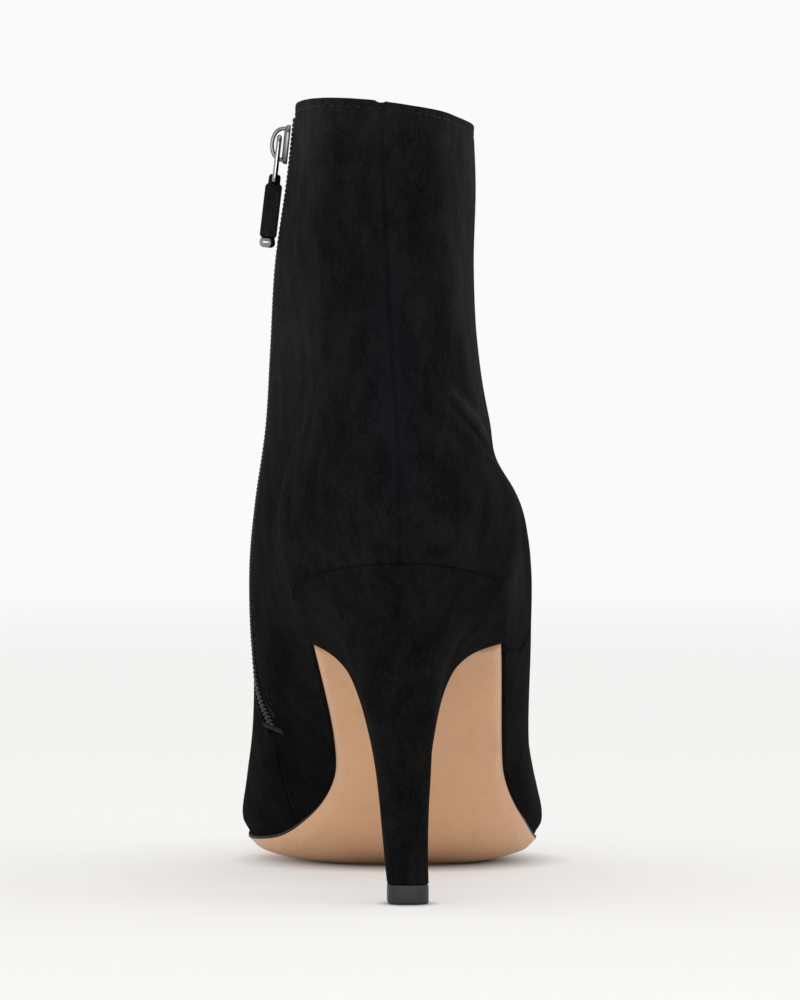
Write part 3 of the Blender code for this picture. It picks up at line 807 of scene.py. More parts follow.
def nap_group():
    """Suede nap: clouds, blotches, brush marks, fibres, some lint, painted light and shade, painted seam
    sheen.
    """
    if "suede_nap" in bpy.data.node_groups:
        return bpy.data.node_groups["suede_nap"]
    tree, entry, leave = new_group("suede_nap", ("Lying", "Standing"), ("Raised", "Pressed", "Lint"))
    spot = tree.nodes.new("ShaderNodeTexCoord").outputs["Object"]
    raised = None
    tall = None
    for layer in NAP_LAYERS:
        pattern = noise(tree, spot, layer.scale, layer.detail, layer.stretch, 0.62)
        part = spread_out(tree, pattern, layer.low, layer.high)
        toned = maths(tree, "MULTIPLY", part, layer.tone)
        lifted = maths(tree, "MULTIPLY", part, layer.relief)
        raised = toned if raised is None else maths(tree, "ADD", raised, toned)
        tall = lifted if tall is None else maths(tree, "ADD", tall, lifted)
    napped = tint(tree, raised, entry.outputs["Lying"], entry.outputs["Standing"])
    # Painted light and shade on the upper, read from its attribute; an even factor on the other pieces
    scaled_tone = vector(tree, "SCALE", napped, entry.outputs["Raised"])
    # Painted bluish sheen beside the seams of the upper, read from its attribute
    with_seam_sheen = tint(tree, entry.outputs["Pressed"], scaled_tone, SEAM_SHEEN_TONE)
    lint = add(tree, "ShaderNodeTexVoronoi", {"Scale": 150.0, "Randomness": 1.0})
    tree.links.new(spot, lint.inputs["Vector"])
    near = spread_out(tree, lint.outputs["Distance"], 0.020, 0.050, 1.0, 0.0)
    split = add(tree, "ShaderNodeSeparateColor")
    tree.links.new(lint.outputs["Color"], split.inputs["Color"])
    few = maths(tree, "GREATER_THAN", split.outputs[0], LINT_SCARCE)
    caught = maths(tree, "MULTIPLY", maths(tree, "MULTIPLY", near, few), entry.outputs["Lint"])
    tree.links.new(tint(tree, caught, with_seam_sheen, LINT_TONE), leave.inputs["Color"])
    tree.links.new(spread_out(tree, raised, 0.2, 0.9, 0.97, 0.86), leave.inputs["Roughness"])
    tree.links.new(tall, leave.inputs["Height"])
    return tree


def grain_group():
    """Leather grain: cloudy tone, pores and faint scuffs."""
    if "leather_grain" in bpy.data.node_groups:
        return bpy.data.node_groups["leather_grain"]
    tree, entry, leave = new_group("leather_grain", ("Tone",), ("Cloud", "Pores", "Rough"))
    spot = tree.nodes.new("ShaderNodeTexCoord").outputs["Object"]
    cloud = spread_out(tree, noise(tree, spot, 38.0, 5.0, (1.0, 0.6, 1.0)), 0.30, 0.70)
    scuff = spread_out(tree, noise(tree, spot, 260.0, 4.0, (1.0, 0.08, 1.0), 0.65), 0.52, 0.75)
    pore = add(tree, "ShaderNodeTexVoronoi", {"Scale": 1400.0, "Randomness": 1.0}, feature="SMOOTH_F1")
    tree.links.new(spot, pore.inputs["Vector"])
    fine = noise(tree, spot, 2600.0, 3.0)
    shade = maths(tree, "MULTIPLY", maths(tree, "SUBTRACT", cloud, 0.5), entry.outputs["Cloud"])
    toned = vector(tree, "SCALE", entry.outputs["Tone"], maths(tree, "ADD", shade, 1.0))
    scuffed = tint(tree, maths(tree, "MULTIPLY", scuff, 0.10), toned, SCUFF_TONE)
    tree.links.new(scuffed, leave.inputs["Color"])
    worn = maths(tree, "ADD", entry.outputs["Rough"], maths(tree, "MULTIPLY", scuff, 0.12))
    tree.links.new(maths(tree, "ADD", worn, maths(tree, "MULTIPLY", cloud, 0.05)), leave.inputs["Roughness"])
    dents = maths(tree, "MULTIPLY", pore.outputs["Distance"], entry.outputs["Pores"])
    tree.links.new(maths(tree, "ADD", dents, maths(tree, "MULTIPLY", fine, 0.3)), leave.inputs["Height"])
    return tree


def rub_group():
    """Handling marks on metal and hard plastic: a changing gloss and hairline scratches."""
    if "handling_marks" in bpy.data.node_groups:
        return bpy.data.node_groups["handling_marks"]
    tree, entry, leave = new_group("handling_marks", ("Tone",), ("Rough", "Marks"))
    spot = tree.nodes.new("ShaderNodeTexCoord").outputs["Object"]
    smear = noise(tree, spot, 520.0, 4.0)
    hair = spread_out(tree, noise(tree, spot, 1800.0, 3.0, (1.0, 1.0, 0.06)), 0.5, 0.8)
    marked = maths(tree, "MULTIPLY", maths(tree, "ADD", smear, hair), entry.outputs["Marks"])
    tree.links.new(maths(tree, "ADD", entry.outputs["Rough"], marked), leave.inputs["Roughness"])
    toned = vector(tree, "SCALE", entry.outputs["Tone"], spread_out(tree, smear, 0.25, 0.75, 0.86, 1.06))
    tree.links.new(toned, leave.inputs["Color"])
    tree.links.new(hair, leave.inputs["Height"])
    return tree


def new_finish(name, values):
    """A material with its tree and its shader, whose even values are set."""
    made = bpy.data.materials.new(name)
    made.use_nodes = True
    shader = made.node_tree.nodes["Principled BSDF"]
    for socket, value in values.items():
        shader.inputs[socket].default_value = value
    return made, made.node_tree, shader


def surface(tree, shader, tone, rough, height, bump):
    """Colour, roughness and relief fed to the shader. bump is the relief's strength and distance."""
    tree.links.new(tone, shader.inputs["Base Color"])
    tree.links.new(rough, shader.inputs["Roughness"])
    relief = add(tree, "ShaderNodeBump", {"Strength": bump[0], "Distance": bump[1]})
    tree.links.new(height, relief.inputs["Height"])
    tree.links.new(relief.outputs["Normal"], shader.inputs["Normal"])


def grouped_finish(name, group, values, shader_values, bump):
    """A material whose colour, roughness and relief come from a group; what is even stays on the shader."""
    made, tree, shader = new_finish(name, shader_values)
    looks = add(tree, "ShaderNodeGroup", node_tree=group)
    for socket, value in values.items():
        looks.inputs[socket].default_value = value
    surface(tree, shader, looks.outputs["Color"], looks.outputs["Roughness"], looks.outputs["Height"], bump)
    return made


def colour(values):
    """A colour with its full alpha."""
    return (*values, 1.0)


def suede_finish(name, lint=1.0, marked=False, raised=1.0):
    """Black suede with a faint sheen. A marked one reads its painted light and shade and its painted seam
    sheen.
    """
    colours = bpy.context.scene.boot_colours
    values = {
        "Lying": colour(colours.suede),
        "Standing": colour(colours.suede_brushed),
        "Raised": raised,
        "Pressed": 0.0,
        "Lint": lint,
    }
    shader = {
        "Specular IOR Level": 0.02,
        "Sheen Weight": 0.005,
        "Sheen Roughness": 0.40,
        "Sheen Tint": (0.75, 0.76, 0.80, 1.0),
    }
    made = grouped_finish(name, nap_group(), values, shader, (0.55, 0.00035))
    if marked:
        tree = made.node_tree
        looks = next(node for node in tree.nodes if node.bl_idname == "ShaderNodeGroup")
        for socket in ("Raised", "Pressed"):
            mark = add(tree, "ShaderNodeAttribute", attribute_name=socket.lower())
            tree.links.new(mark.outputs["Fac"], looks.inputs[socket])
    return made


# Leathers and paint: how cloudy they are, how open their pores, how rough, the strength and distance of
# their bump, and their shine
Leather = namedtuple("Leather", "cloud pores rough strength distance shine")
LEATHERS = {
    "lining_leather": Leather(0.16, 0.8, 0.55, 0.25, 0.00015, 0.4),
    "sole_leather": Leather(0.10, 0.25, 0.36, 0.10, 0.00008, 0.4),
    "edge_paint": Leather(0.10, 0.2, 0.55, 0.10, 0.00008, 0.15),
    "sock_leather_finish": Leather(0.14, 0.7, 0.50, 0.2, 0.00012, 0.4),
    "breast_leather": Leather(0.10, 0.4, 0.50, 0.15, 0.0001, 0.15),
}


def leather_finish(name, tone):
    """One of the leathers in a colour."""
    look = LEATHERS[name]
    values = {"Tone": colour(tone), "Cloud": look.cloud, "Pores": look.pores, "Rough": look.rough}
    shader = {"Specular IOR Level": look.shine}
    return grouped_finish(name, grain_group(), values, shader, (look.strength, look.distance))


def metal_finish(name, tone, rough, marks, metallic=1.0):
    """Polished metal with its marks of handling."""
    values = {"Tone": colour(tone), "Rough": rough, "Marks": marks}
    return grouped_finish(name, rub_group(), values, {"Metallic": metallic}, (0.05, 0.00005))


def plastic_finish(name, tone, rough, marks):
    """Hard plastic with its marks of handling."""
    values = {"Tone": colour(tone), "Rough": rough, "Marks": marks}
    return grouped_finish(name, rub_group(), values, {"Specular IOR Level": 0.25}, (0.15, 0.00010))


def thread_finish(name, tone):
    """Sewing thread with its twist."""
    made, tree, shader = new_finish(name, {"Specular IOR Level": 0.12, "Sheen Weight": 0.03})
    spot = add(tree, "ShaderNodeTexCoord").outputs["Object"]
    twist = add(tree, "ShaderNodeTexWave", {"Scale": 900.0, "Distortion": 1.5}, bands_direction="DIAGONAL")
    tree.links.new(spot, twist.inputs["Vector"])
    height = twist.outputs["Fac"]
    toned = tint(tree, height, colour(0.45 * value for value in tone), colour(tone))
    surface(tree, shader, toned, spread_out(tree, height, 0.0, 1.0, 0.75, 0.5), height, (0.5, 0.0001))
    return made


def tape_finish(name, tone):
    """Woven zip tape, its ribs following the tape."""
    made, tree, shader = new_finish(name, {"Specular IOR Level": 0.2})
    laid = add(tree, "ShaderNodeUVMap", uv_map="laid").outputs["UV"]
    stretched = add(tree, "ShaderNodeMapping", {"Scale": (34.0, 420.0, 1.0)})
    tree.links.new(laid, stretched.inputs["Vector"])
    ribs = add(tree, "ShaderNodeTexChecker", {"Scale": 1.0})
    tree.links.new(stretched.outputs["Vector"], ribs.inputs["Vector"])
    fuzz = noise(tree, add(tree, "ShaderNodeTexCoord").outputs["Object"], 3000.0, 2.0)
    ribbed = maths(tree, "MULTIPLY", ribs.outputs["Fac"], 0.6)
    woven = maths(tree, "ADD", ribbed, maths(tree, "MULTIPLY", fuzz, 0.4))
    toned = tint(tree, woven, colour(0.5 * value for value in tone), colour(tone))
    surface(tree, shader, toned, spread_out(tree, woven, 0.0, 1.0, 0.9, 0.7), woven, (0.5, 0.00015))
    return made


# Panels of the upper between the lines that divide it: their columns, and how much closer together these
# stand beside the lines
Panel = namedtuple("Panel", "name columns closer")
PANELS = [
    Panel("inner_quarter", 50, 0.85),
    Panel("zip_gap", 8, 0.0),
    Panel("inner_vamp", 50, 0.70),
    Panel("outer_vamp", 48, 0.70),
    Panel("outer_quarter", 52, 0.85),
]
UPPER_ROWS = 124
ROWS_BELOW_ZIP = 0.19  # share of the rows below the zip's lower end
ROWS_TO_COLLAR = 0.45  # how much closer together they stand towards the collar
FOLD_STEPS = 12


def upper_levels():
    """Levels of the upper's rows, one of them at the zip's lower end."""
    low = round(UPPER_ROWS * ROWS_BELOW_ZIP)
    levels = [ZIP_END * i / low for i in range(low)]
    high = UPPER_ROWS - low
    for i in range(high + 1):
        p = i / high
        levels.append(mix(ZIP_END, 1.0, mix(p, 1 - (1 - p) ** 2, ROWS_TO_COLLAR)))
    return levels


def upper_turns(level):
    """Turns of the upper's columns at a level, closer together beside the seams."""
    half = slot_turn(level)
    lines = [0.0, zip_turn(level) - half, zip_turn(level) + half, math.pi, side_turn(level), 2 * math.pi]
    turns = []
    for panel, first, last in zip(PANELS, lines, lines[1:]):
        for i in range(panel.columns):
            p = i / panel.columns
            turns.append(mix(first, last, mix(p, ease(p), panel.closer)))
    return turns + [2 * math.pi]


def fold_line(fold):
    """Points of a fold on the upper, along a soft bend."""
    points = []
    for i in range(FOLD_STEPS + 1):
        p = i / FOLD_STEPS
        pairs = zip(fold.start, fold.bend, fold.end)
        share, level = [(1 - p) ** 2 * a + 2 * p * (1 - p) * b + p * p * c for a, b, c in pairs]
        points.append(upper_point(-fold.side * turn_at(share), level))
    return points


def fold_share(fold, line, point):
    """How much of a fold's full height is reached at a point, fading to 0 beside it and towards its ends."""
    distances = [(point - spot).length for spot in line]
    near = min(range(len(line)), key=distances.__getitem__)
    if distances[near] > 4 * fold.width:
        return 0.0
    best = distances[near]
    for k in (near - 1, near):
        if 0 <= k < len(line) - 1:
            way = line[k + 1] - line[k]
            share = min(max((point - line[k]).dot(way) / way.length_squared, 0.0), 1.0)
            best = min(best, (point - line[k] - way * share).length)
    p = near / (len(line) - 1)
    return hump(best, fold.width) * math.sin(math.pi * mix(0.06, 0.94, p))


def ankle_relief(point, ring):
    """Height of the outer side at the ankle, fading out at the back, along the foot and inward."""
    share = (point.y - ring.back_along) / (ring.front_along - ring.back_along)
    along = ramp(share, 0.04, 0.10) * (1 - ramp(share, 0.45, 0.25)) * ramp(point.x, 0.004, 0.008)
    return along * sum(swell.height * hump(point.z - swell.rise, swell.width) for swell in ANKLE_SWELLS)


def seam_relief(away, depth):
    """Height of the upper beside a closed seam: a fine groove between two soft rolls."""
    return 0.00020 * hump(away - 0.0019, 0.0012) - depth * hump(away, 0.00050)


def edge_relief(away, stitch):
    """Height of the upper beside a turned edge: a soft roll, then the groove of its topstitching."""
    return 0.00012 * hump(away, 0.0010) - 0.00014 * hump(away - stitch, 0.0005)


def make_relief(level, back, side, middle, depth):
    """Height of the upper beside its seams, the zip and the collar, by the distances to the three lines."""
    relief = seam_relief(back, depth) + seam_relief(side, depth)
    if level < ZIP_END:
        relief += seam_relief(middle, depth) * ease((ZIP_END - level) / SEAM_FADE)
    else:
        relief += edge_relief(middle - SLOT_HALF, ZIP_STITCH)
    return relief + edge_relief((1 - level) * BACK_RUN, COLLAR_STITCH)


def painted_seam_sheen(level, back, middle):
    """How much painted sheen lies beside the back seam and beside the seam below the zip."""
    shaft = ramp(level, 0.16, 0.25) * (1 - ramp(level, 0.52, 0.2))
    pressed = 0.45 * hump(back, 0.0045) * shaft + 0.25 * hump(back - 0.0012, 0.0008)
    if level < ZIP_END:
        pressed = max(pressed, 0.4 * hump(middle - 0.0010, 0.0008))
    return pressed


def painted_light_on_suede(point, level):
    """Painted light on the suede's tone: shade on the foot, light at the back, sheen on the shaft sides,
    lighter collar.
    """
    ring = ring_at(level)
    middle = ring.mid[2]
    side = abs(point.x - middle) / ring.half[2]
    flank = mix(1.0, INNER_PAINTED_SHEEN if point.x < middle else OUTER_PAINTED_SHEEN, ramp(side, 0.45, 0.5))
    foot = mix(BACK_PAINTED_LIGHT, FOOT_PAINTED_SHADE, ramp(point.y, 0.005, 0.05))
    return mix(foot, flank, ramp(level, 0.35, 0.35)) * mix(1.0, COLLAR_LIGHTER, ramp(level, 0.8, 0.2))


def cut_slot(bm, column_of, row_of, levels):
    """Take the zip's slot out of the upper."""
    first = PANELS[0].columns
    last = first + PANELS[1].columns
    slot = []
    for face in bm.faces:
        inside = all(first <= vert[column_of] <= last for vert in face.verts)
        if inside and all(levels[vert[row_of]] > ZIP_END - 1e-6 for vert in face.verts):
            slot.append(face)
    bmesh.ops.delete(bm, geom=slot, context="FACES")


class BOOT_OT_upper(bpy.types.Operator):
    """Suede shell with its lining, open at the collar and underneath, with its seams, folds and zip slot"""

    bl_idname = "boot.upper"
    bl_label = "Suede upper"

    def execute(self, context):
        sizes = context.scene.boot_sizes
        colours = context.scene.boot_colours
        bm = bmesh.new()
        levels = [0.0] + upper_levels()
        rings = [ring_at(level) for level in levels]
        turns = [upper_turns(level) for level in levels]
        columns = len(turns[0]) - 1

        def spot(i, j):
            return ring_point(rings[j], turns[j][i], 0.0 if j else -sizes.turned_under)

        column_of, row_of = weave(bm, columns, len(levels) - 1, spot)
        cut_slot(bm, column_of, row_of, levels)
        bmesh.ops.remove_doubles(bm, verts=bm.verts, dist=1e-6)
        bmesh.ops.reverse_faces(bm, faces=bm.faces)
        bm.normal_update()
        lines = []
        for level, ring in zip(levels, rings):
            lines.append([ring_point(ring, turn) for turn in (0.0, side_turn(level), zip_turn(level))])
        folds = [(fold, fold_line(fold)) for fold in FOLDS]
        painted_light_of = bm.verts.layers.float.new("raised")
        seam_sheen_of = bm.verts.layers.float.new("pressed")
        for vert in bm.verts:
            row = vert[row_of]
            level = levels[row]
            back, side, middle = [(vert.co - mark).length for mark in lines[row]]
            relief = make_relief(level, back, side, middle, sizes.seam_depth)
            relief += sizes.fold_strength * ankle_relief(vert.co, rings[row])
            # Painted light and shade on the suede: shade on the foot, light at the back, sheen on the
            # shaft's sides
            raised = painted_light_on_suede(vert.co, level)
            for fold, line in folds:
                share = fold_share(fold, line, vert.co)
                relief += sizes.fold_strength * fold.height * share
                # Painted highlight along a fold's crest and painted shade in its crease
                raised += sizes.fold_strength * fold.nap * share * share
            vert[painted_light_of] = raised
            # Painted sheen beside the back seam and the seam below the zip
            vert[seam_sheen_of] = painted_seam_sheen(level, back, middle)
            out = Vector((*vert.normal.xy, vert.normal.z * ease(level / SEAM_FADE)))
            if row > 0:
                vert.co += out.normalized() * relief
            else:
                vert.co.z -= 2 * GAP
            # A notch at the collar's back seam, and the lower edge let down onto the sole and heel
            vert.co.z -= 0.0005 * hump(back, 0.0006) * ramp(level, 0.985, 0.015)
            vert.co.z -= 1.3 * GAP * ease(1 - level / SEAM_FADE)
        suede = suede_finish("upper_suede", marked=True)
        lining = leather_finish("lining_leather", colours.lining)
        upper = piece("suede_upper", bm, [suede, lining], "boot", "black_suede", "upper")
        wall = upper.modifiers.new("wall", "SOLIDIFY")
        wall.thickness = sizes.wall
        wall.offset = -1.0
        wall.use_even_offset = True
        wall.use_rim = True
        wall.material_offset = 1
        wall.material_offset_rim = 0
        rounded_edges(upper, sizes.rolled_edge, 3, 60.0)
        return {"FINISHED"}


def lay_stitches(bm, spots, long, wide):
    """Short rounded stitches, each in its own frame: x across, y along and z out."""
    for spot in spots:
        size = Matrix.Diagonal((wide / 2, long / 2, wide / 2 * 0.85, 1.0))
        bmesh.ops.create_uvsphere(bm, u_segments=6, v_segments=5, radius=1.0, matrix=spot @ size)


def surface_frame(turn, level, way):
    """A frame on the upper at a turn and level: y along the given way, z out."""
    here = upper_point(turn, level)
    ring = upper_point(turn + 0.01, level) - upper_point(turn - 0.01, level)
    high = min(level + 0.005, 1.0)
    up = upper_point(turn, high) - upper_point(turn, high - 0.01)
    out = up.cross(ring).normalized()
    way = (way - out * way.dot(out)).normalized()
    return frame_matrix(here, way.cross(out), way, out)


class BOOT_OT_stitching(bpy.types.Operator):
    """Topstitching under the collar and along the zip's sides, and the bar tack at the zip's lower end"""

    bl_idname = "boot.stitching"
    bl_label = "Stitching"

    def execute(self, context):
        sizes = context.scene.boot_sizes
        finish = thread_finish("black_thread", context.scene.boot_colours.thread)
        pitch = sizes.stitch_long + sizes.stitch_gap
        level = 1 - COLLAR_STITCH / BACK_RUN
        clear = 1.9 * slot_turn(level)
        beside = 1 + ZIP_STITCH / SLOT_HALF
        start = zip_turn(level) + clear
        stop = zip_turn(level) - clear + 2 * math.pi
        bm = bmesh.new()
        spots = []
        for place in even_places(lambda p: upper_point(mix(start, stop, p), level), 240, pitch):
            turn = mix(start, stop, place)
            way = upper_point(turn + 0.01, level) - upper_point(turn - 0.01, level)
            spots.append(surface_frame(turn, level, way))
        lay_stitches(bm, spots, sizes.stitch_long, sizes.thread)
        piece("collar_stitches", bm, [finish], "boot", "black_suede")
        bm = bmesh.new()
        spots = []
        for side in (-1, 1):

            def spot_turn(p, side=side):
                at = mix(ZIP_END + STITCH_CLEAR, level - STITCH_CLEAR, p)
                return zip_turn(at) + side * slot_turn(at) * beside, at

            for place in even_places(lambda p: upper_point(*spot_turn(p)), 200, pitch):
                turn, at = spot_turn(place)
                way = upper_point(*spot_turn(place + 0.004)) - upper_point(*spot_turn(place - 0.004))
                spots.append(surface_frame(turn, at, way))
        lay_stitches(bm, spots, sizes.stitch_long, sizes.thread)
        piece("zip_stitches", bm, [finish], "boot", "black_suede")
        bm = bmesh.new()
        here, across, up, out = zip_frame(ZIP_END)
        spots = []
        for i in range(TACK_STITCHES):
            aside = mix(-TACK_HALF, TACK_HALF, i / (TACK_STITCHES - 1))
            centre = here + across * aside - up * TACK_BELOW + out * TACK_PROUD
            spots.append(frame_matrix(centre, across, up, out))
        lay_stitches(bm, spots, TACK_LONG, TACK_THREAD)
        piece("bar_tack", bm, [finish], "boot", "black_suede")
        return {"FINISHED"}


def toe_fade(y):
    """1 along the sole, falling to 0 at the tip of the toe."""
    left = (SOLE_PLACES[-1] - y) / TOE_RUN
    return math.sqrt(min(max(left, 0.0), 1.0))


def forefoot(y):
    """0 at the heel breast, rising to 1 where the waist runs into the forefoot."""
    return min(max((y - BREAST) / WAIST_RUN, 0.0), 1.0)


def last_bottom(y, across):
    """Height of the last's bottom, across running from -1 to 1 between its edges."""
    return sole_z(y) - CROWN * forefoot(y) * toe_fade(y) * (1 - across**2)


def feather_turn(y, spread):
    """The turn at a place along the spread feather edge."""
    ring = ring_at(0.0)
    return turn_at((y - ring.back_along + spread) / (ring.front_along - ring.back_along + 2 * spread))


def sole_slices(first, last, spread, steps):
    """Turns from a place along the foot to a last turn, closer together towards the toe."""
    start = feather_turn(first, spread)
    return [mix(start, last, i / steps) for i in range(steps + 1)]


def waist_drawn_in(y):
    """How far the sole's edge is drawn in along the waist."""
    return DRAWN_IN * (1 - ramp(y, DRAWN_TO, DRAWN_RUN))


def sole_sheet(bm, turns, spread, top, bottom, strips, inside=lambda y: 0.0):
    """A closed sheet along the feather edge, between two heights given by y and the place across.

    Its edge is spread from the feather edge and then drawn in by what inside gives for y.
    """
    ring = ring_at(0.0)
    inner = [ring_point(ring, turn, spread) for turn in turns]
    outer = [ring_point(ring, -turn, spread) for turn in turns]
    count = 2 * strips + 2

    def place(column, row):
        column = column % count
        k = min(max(row - 1, 0), len(turns) - 1)
        y = inner[k].y
        under = column <= strips
        s = -1 + 2 * (column if under else count - 1 - column) / strips
        z = bottom(y, s) if under else top(y, s)
        if row in (0, len(turns) + 1):
            z = (bottom(y, s) + top(y, s)) / 2
        x = mix(inner[k].x, outer[k].x, (s + 1) / 2) - s * inside(y)
        return Vector((x, y, z))

    column_of, row_of = weave(bm, count, len(turns) + 1, place)
    for face in bm.faces:
        sunk = all(vert[column_of] <= strips for vert in face.verts)
        breast = any(vert[row_of] == 0 for vert in face.verts)
        toe = any(vert[row_of] == len(turns) + 1 for vert in face.verts)
        face.material_index = 0 if breast or (sunk and not toe) else 1
    close_up(bm)


class BOOT_OT_outsole(bpy.types.Operator):
    """Tan leather sole from the heel breast to the toe, its edge painted black"""

    bl_idname = "boot.outsole"
    bl_label = "Leather sole"

    def execute(self, context):
        colours = context.scene.boot_colours
        sizes = context.scene.boot_sizes

        def top(y, s):
            return last_bottom(y, s) - GAP

        def bottom(y, s):
            thick = EDGE + (CENTRE - EDGE) * forefoot(y) * toe_fade(y) * (1 - s**4)
            inward = min((1 - abs(s)) / TURNED_UP, (SOLE_PLACES[-1] - y) / TOE_THIN)
            return max(top(y, s) - mix(sizes.rim, thick, math.sqrt(ease(inward))), 0.0)

        bm = bmesh.new()
        turns = sole_slices(BREAST + GAP, math.pi - 0.05, EDGE_SHOW, 110)
        sole_sheet(bm, turns, EDGE_SHOW, top, bottom, 64, waist_drawn_in)
        tan = leather_finish("sole_leather", colours.sole)
        paint = leather_finish("edge_paint", colours.edge_paint)
        sole = piece("leather_sole", bm, [tan, paint], "boot", "tan_leather", "outsole")
        rounded_edges(sole, sizes.sole_bevel, 3, 50.0)
        return {"FINISHED"}


class BOOT_OT_sock(bpy.types.Operator):
    """Leather sock over the insole board"""

    bl_idname = "boot.sock"
    bl_label = "Sock"

    def execute(self, context):
        def top(y, s):
            return last_bottom(y, s) + INSOLE

        bm = bmesh.new()
        turns = sole_slices(SOLE_PLACES[0] + SOCK_BACK, math.pi - 0.12, -SOCK_INSET, 80)
        sole_sheet(bm, turns, -SOCK_INSET, top, last_bottom, 20)
        for face in bm.faces:
            face.material_index = 0
        leather = leather_finish("sock_leather_finish", context.scene.boot_colours.sock)
        sock = piece("leather_sock", bm, [leather], "boot", "sock_leather", "insole")
        rounded_edges(sock, 0.0004, 2, 50.0)
        return {"FINISHED"}


def tip_outline():
    """The heel tip from the middle of its back to its inner breast corner, from its middle."""
    corner = TIP_CORNER
    side = TIP_BACK + TIP_TURN
    points = []
    for i in range(HEEL_STEPS + 1):
        p = i / HEEL_STEPS
        if p < TIP_BACK:
            points.append((-(TIP_WIDTH / 2 - corner) * p / TIP_BACK, -TIP_DEPTH / 2))
        elif p < side:
            angle = math.pi / 2 * (p - TIP_BACK) / TIP_TURN
            x = -(TIP_WIDTH / 2 - corner) - corner * math.sin(angle)
            points.append((x, -TIP_DEPTH / 2 + corner - corner * math.cos(angle)))
        else:
            forward = (p - side) / (1 - side)
            points.append((-TIP_WIDTH / 2, mix(-TIP_DEPTH / 2 + corner, TIP_DEPTH / 2, forward)))
    return points


def heel_row(fall):
    """The heel's row at a percentage of the way down."""
    places = [row.fall for row in HEEL_ROWS]
    columns = zip(*HEEL_ROWS)
    return HeelRow(*[smooth_through(places, values, fall) for values in columns])


def heel_loop(row):
    """One closed ring of the heel: its inner breast corner, round the back, its outer corner, the breast."""
    corner = feather_turn(BREAST, EDGE_SHOW)
    tip = tip_outline()
    sides = []
    for side in (1, -1):
        points = []
        for i in range(HEEL_STEPS + 1):
            p = i / HEEL_STEPS
            seat = ring_point(ring_at(0.0), side * corner * p, EDGE_SHOW)
            forward = ease(p)
            narrow = mix(row.rear, row.front, forward) / 100
            run = mix(row.back, row.breast, forward) / 100
            x = mix(seat.x, side * tip[i][0], narrow) - row.sway / 100 * BALL_WIDTH
            y = mix(seat.y, tip[i][1], run)
            z = mix(seat.z - GAP, TOP_PIECE + GAP, row.fall / 100)
            points.append(Vector((x, y, z)))
        sides.append(points)
    inner, outer = sides
    breast = [mix(outer[-1], inner[-1], k / BREAST_STRIPS) for k in range(1, BREAST_STRIPS)]
    return inner[::-1] + outer[1:] + breast


class BOOT_OT_heel(bpy.types.Operator):
    """Suede covered heel flaring from a slim tip to the seat, its breast faced with smooth leather"""

    bl_idname = "boot.heel"
    bl_label = "Covered heel"

    def execute(self, context):
        colours = context.scene.boot_colours
        ways = [i / (HEEL_LOOPS - 1) for i in range(HEEL_LOOPS)]
        loops = [heel_loop(heel_row(100 * mix(p, p * p, 0.55))) for p in ways]
        count = len(loops[0])
        back = 2 * HEEL_STEPS

        def partner(column):
            """The column at the same place on the other side."""
            if column <= back:
                return back - column
            return count - (column - back)

        def place(column, row):
            column = column % count
            loop = loops[min(max(row - 1, 0), len(loops) - 1)]
            point = loop[column].copy()
            if row in (0, len(loops) + 1):
                point.x = (point.x + loop[partner(column) % count].x) / 2
            return point

        bm = bmesh.new()
        column_of = weave(bm, count, len(loops) + 1, place)[0]
        for face in bm.faces:
            over_breast = all(vert[column_of] >= back for vert in face.verts)
            face.material_index = 1 if over_breast else 0
        close_up(bm)
        bm.normal_update()
        for vert in bm.verts:
            if vert.co.y < 0:
                away = math.hypot(vert.co.x - DENT[0], vert.co.z - DENT[1])
                vert.co -= vert.normal * DENT_DEEP * hump(away, DENT_WIDE)
        suede = suede_finish("heel_cover_suede")
        facing = leather_finish("breast_leather", colours.edge_paint)
        heel = piece("covered_heel", bm, [suede, facing], "boot", "heel_suede", "heel")
        rounded_edges(heel, context.scene.boot_sizes.heel_bevel, 3, 55.0)
        return {"FINISHED"}


class BOOT_OT_top_piece(bpy.types.Operator):
    """Hard top piece under the heel tip"""

    bl_idname = "boot.top_piece"
    bl_label = "Top piece"

    def execute(self, context):
        outline = tip_outline()
        loop = outline[::-1] + [(-x, y) for x, y in outline[1:]]
        rows = [
            (0.0, 1 - 2 * TIP_EASING / TIP_WIDTH),
            (TIP_EASING, 1.0),
            (TOP_PIECE - 0.0012, 1.0),
            (TOP_PIECE, 0.985),
        ]
        bm = bmesh.new()
        loft(bm, [[Vector((x * share, y * share, z)) for x, y in loop] for z, share in rows])
        tone = context.scene.boot_colours.top_piece
        finish = plastic_finish("top_piece_finish", tone, rough=0.45, marks=0.10)
        tip = piece("heel_tip", bm, [finish], "boot", "top_piece_plastic", "top_piece")
        rounded_edges(tip, 0.00025, 2, 25.0)
        return {"FINISHED"}


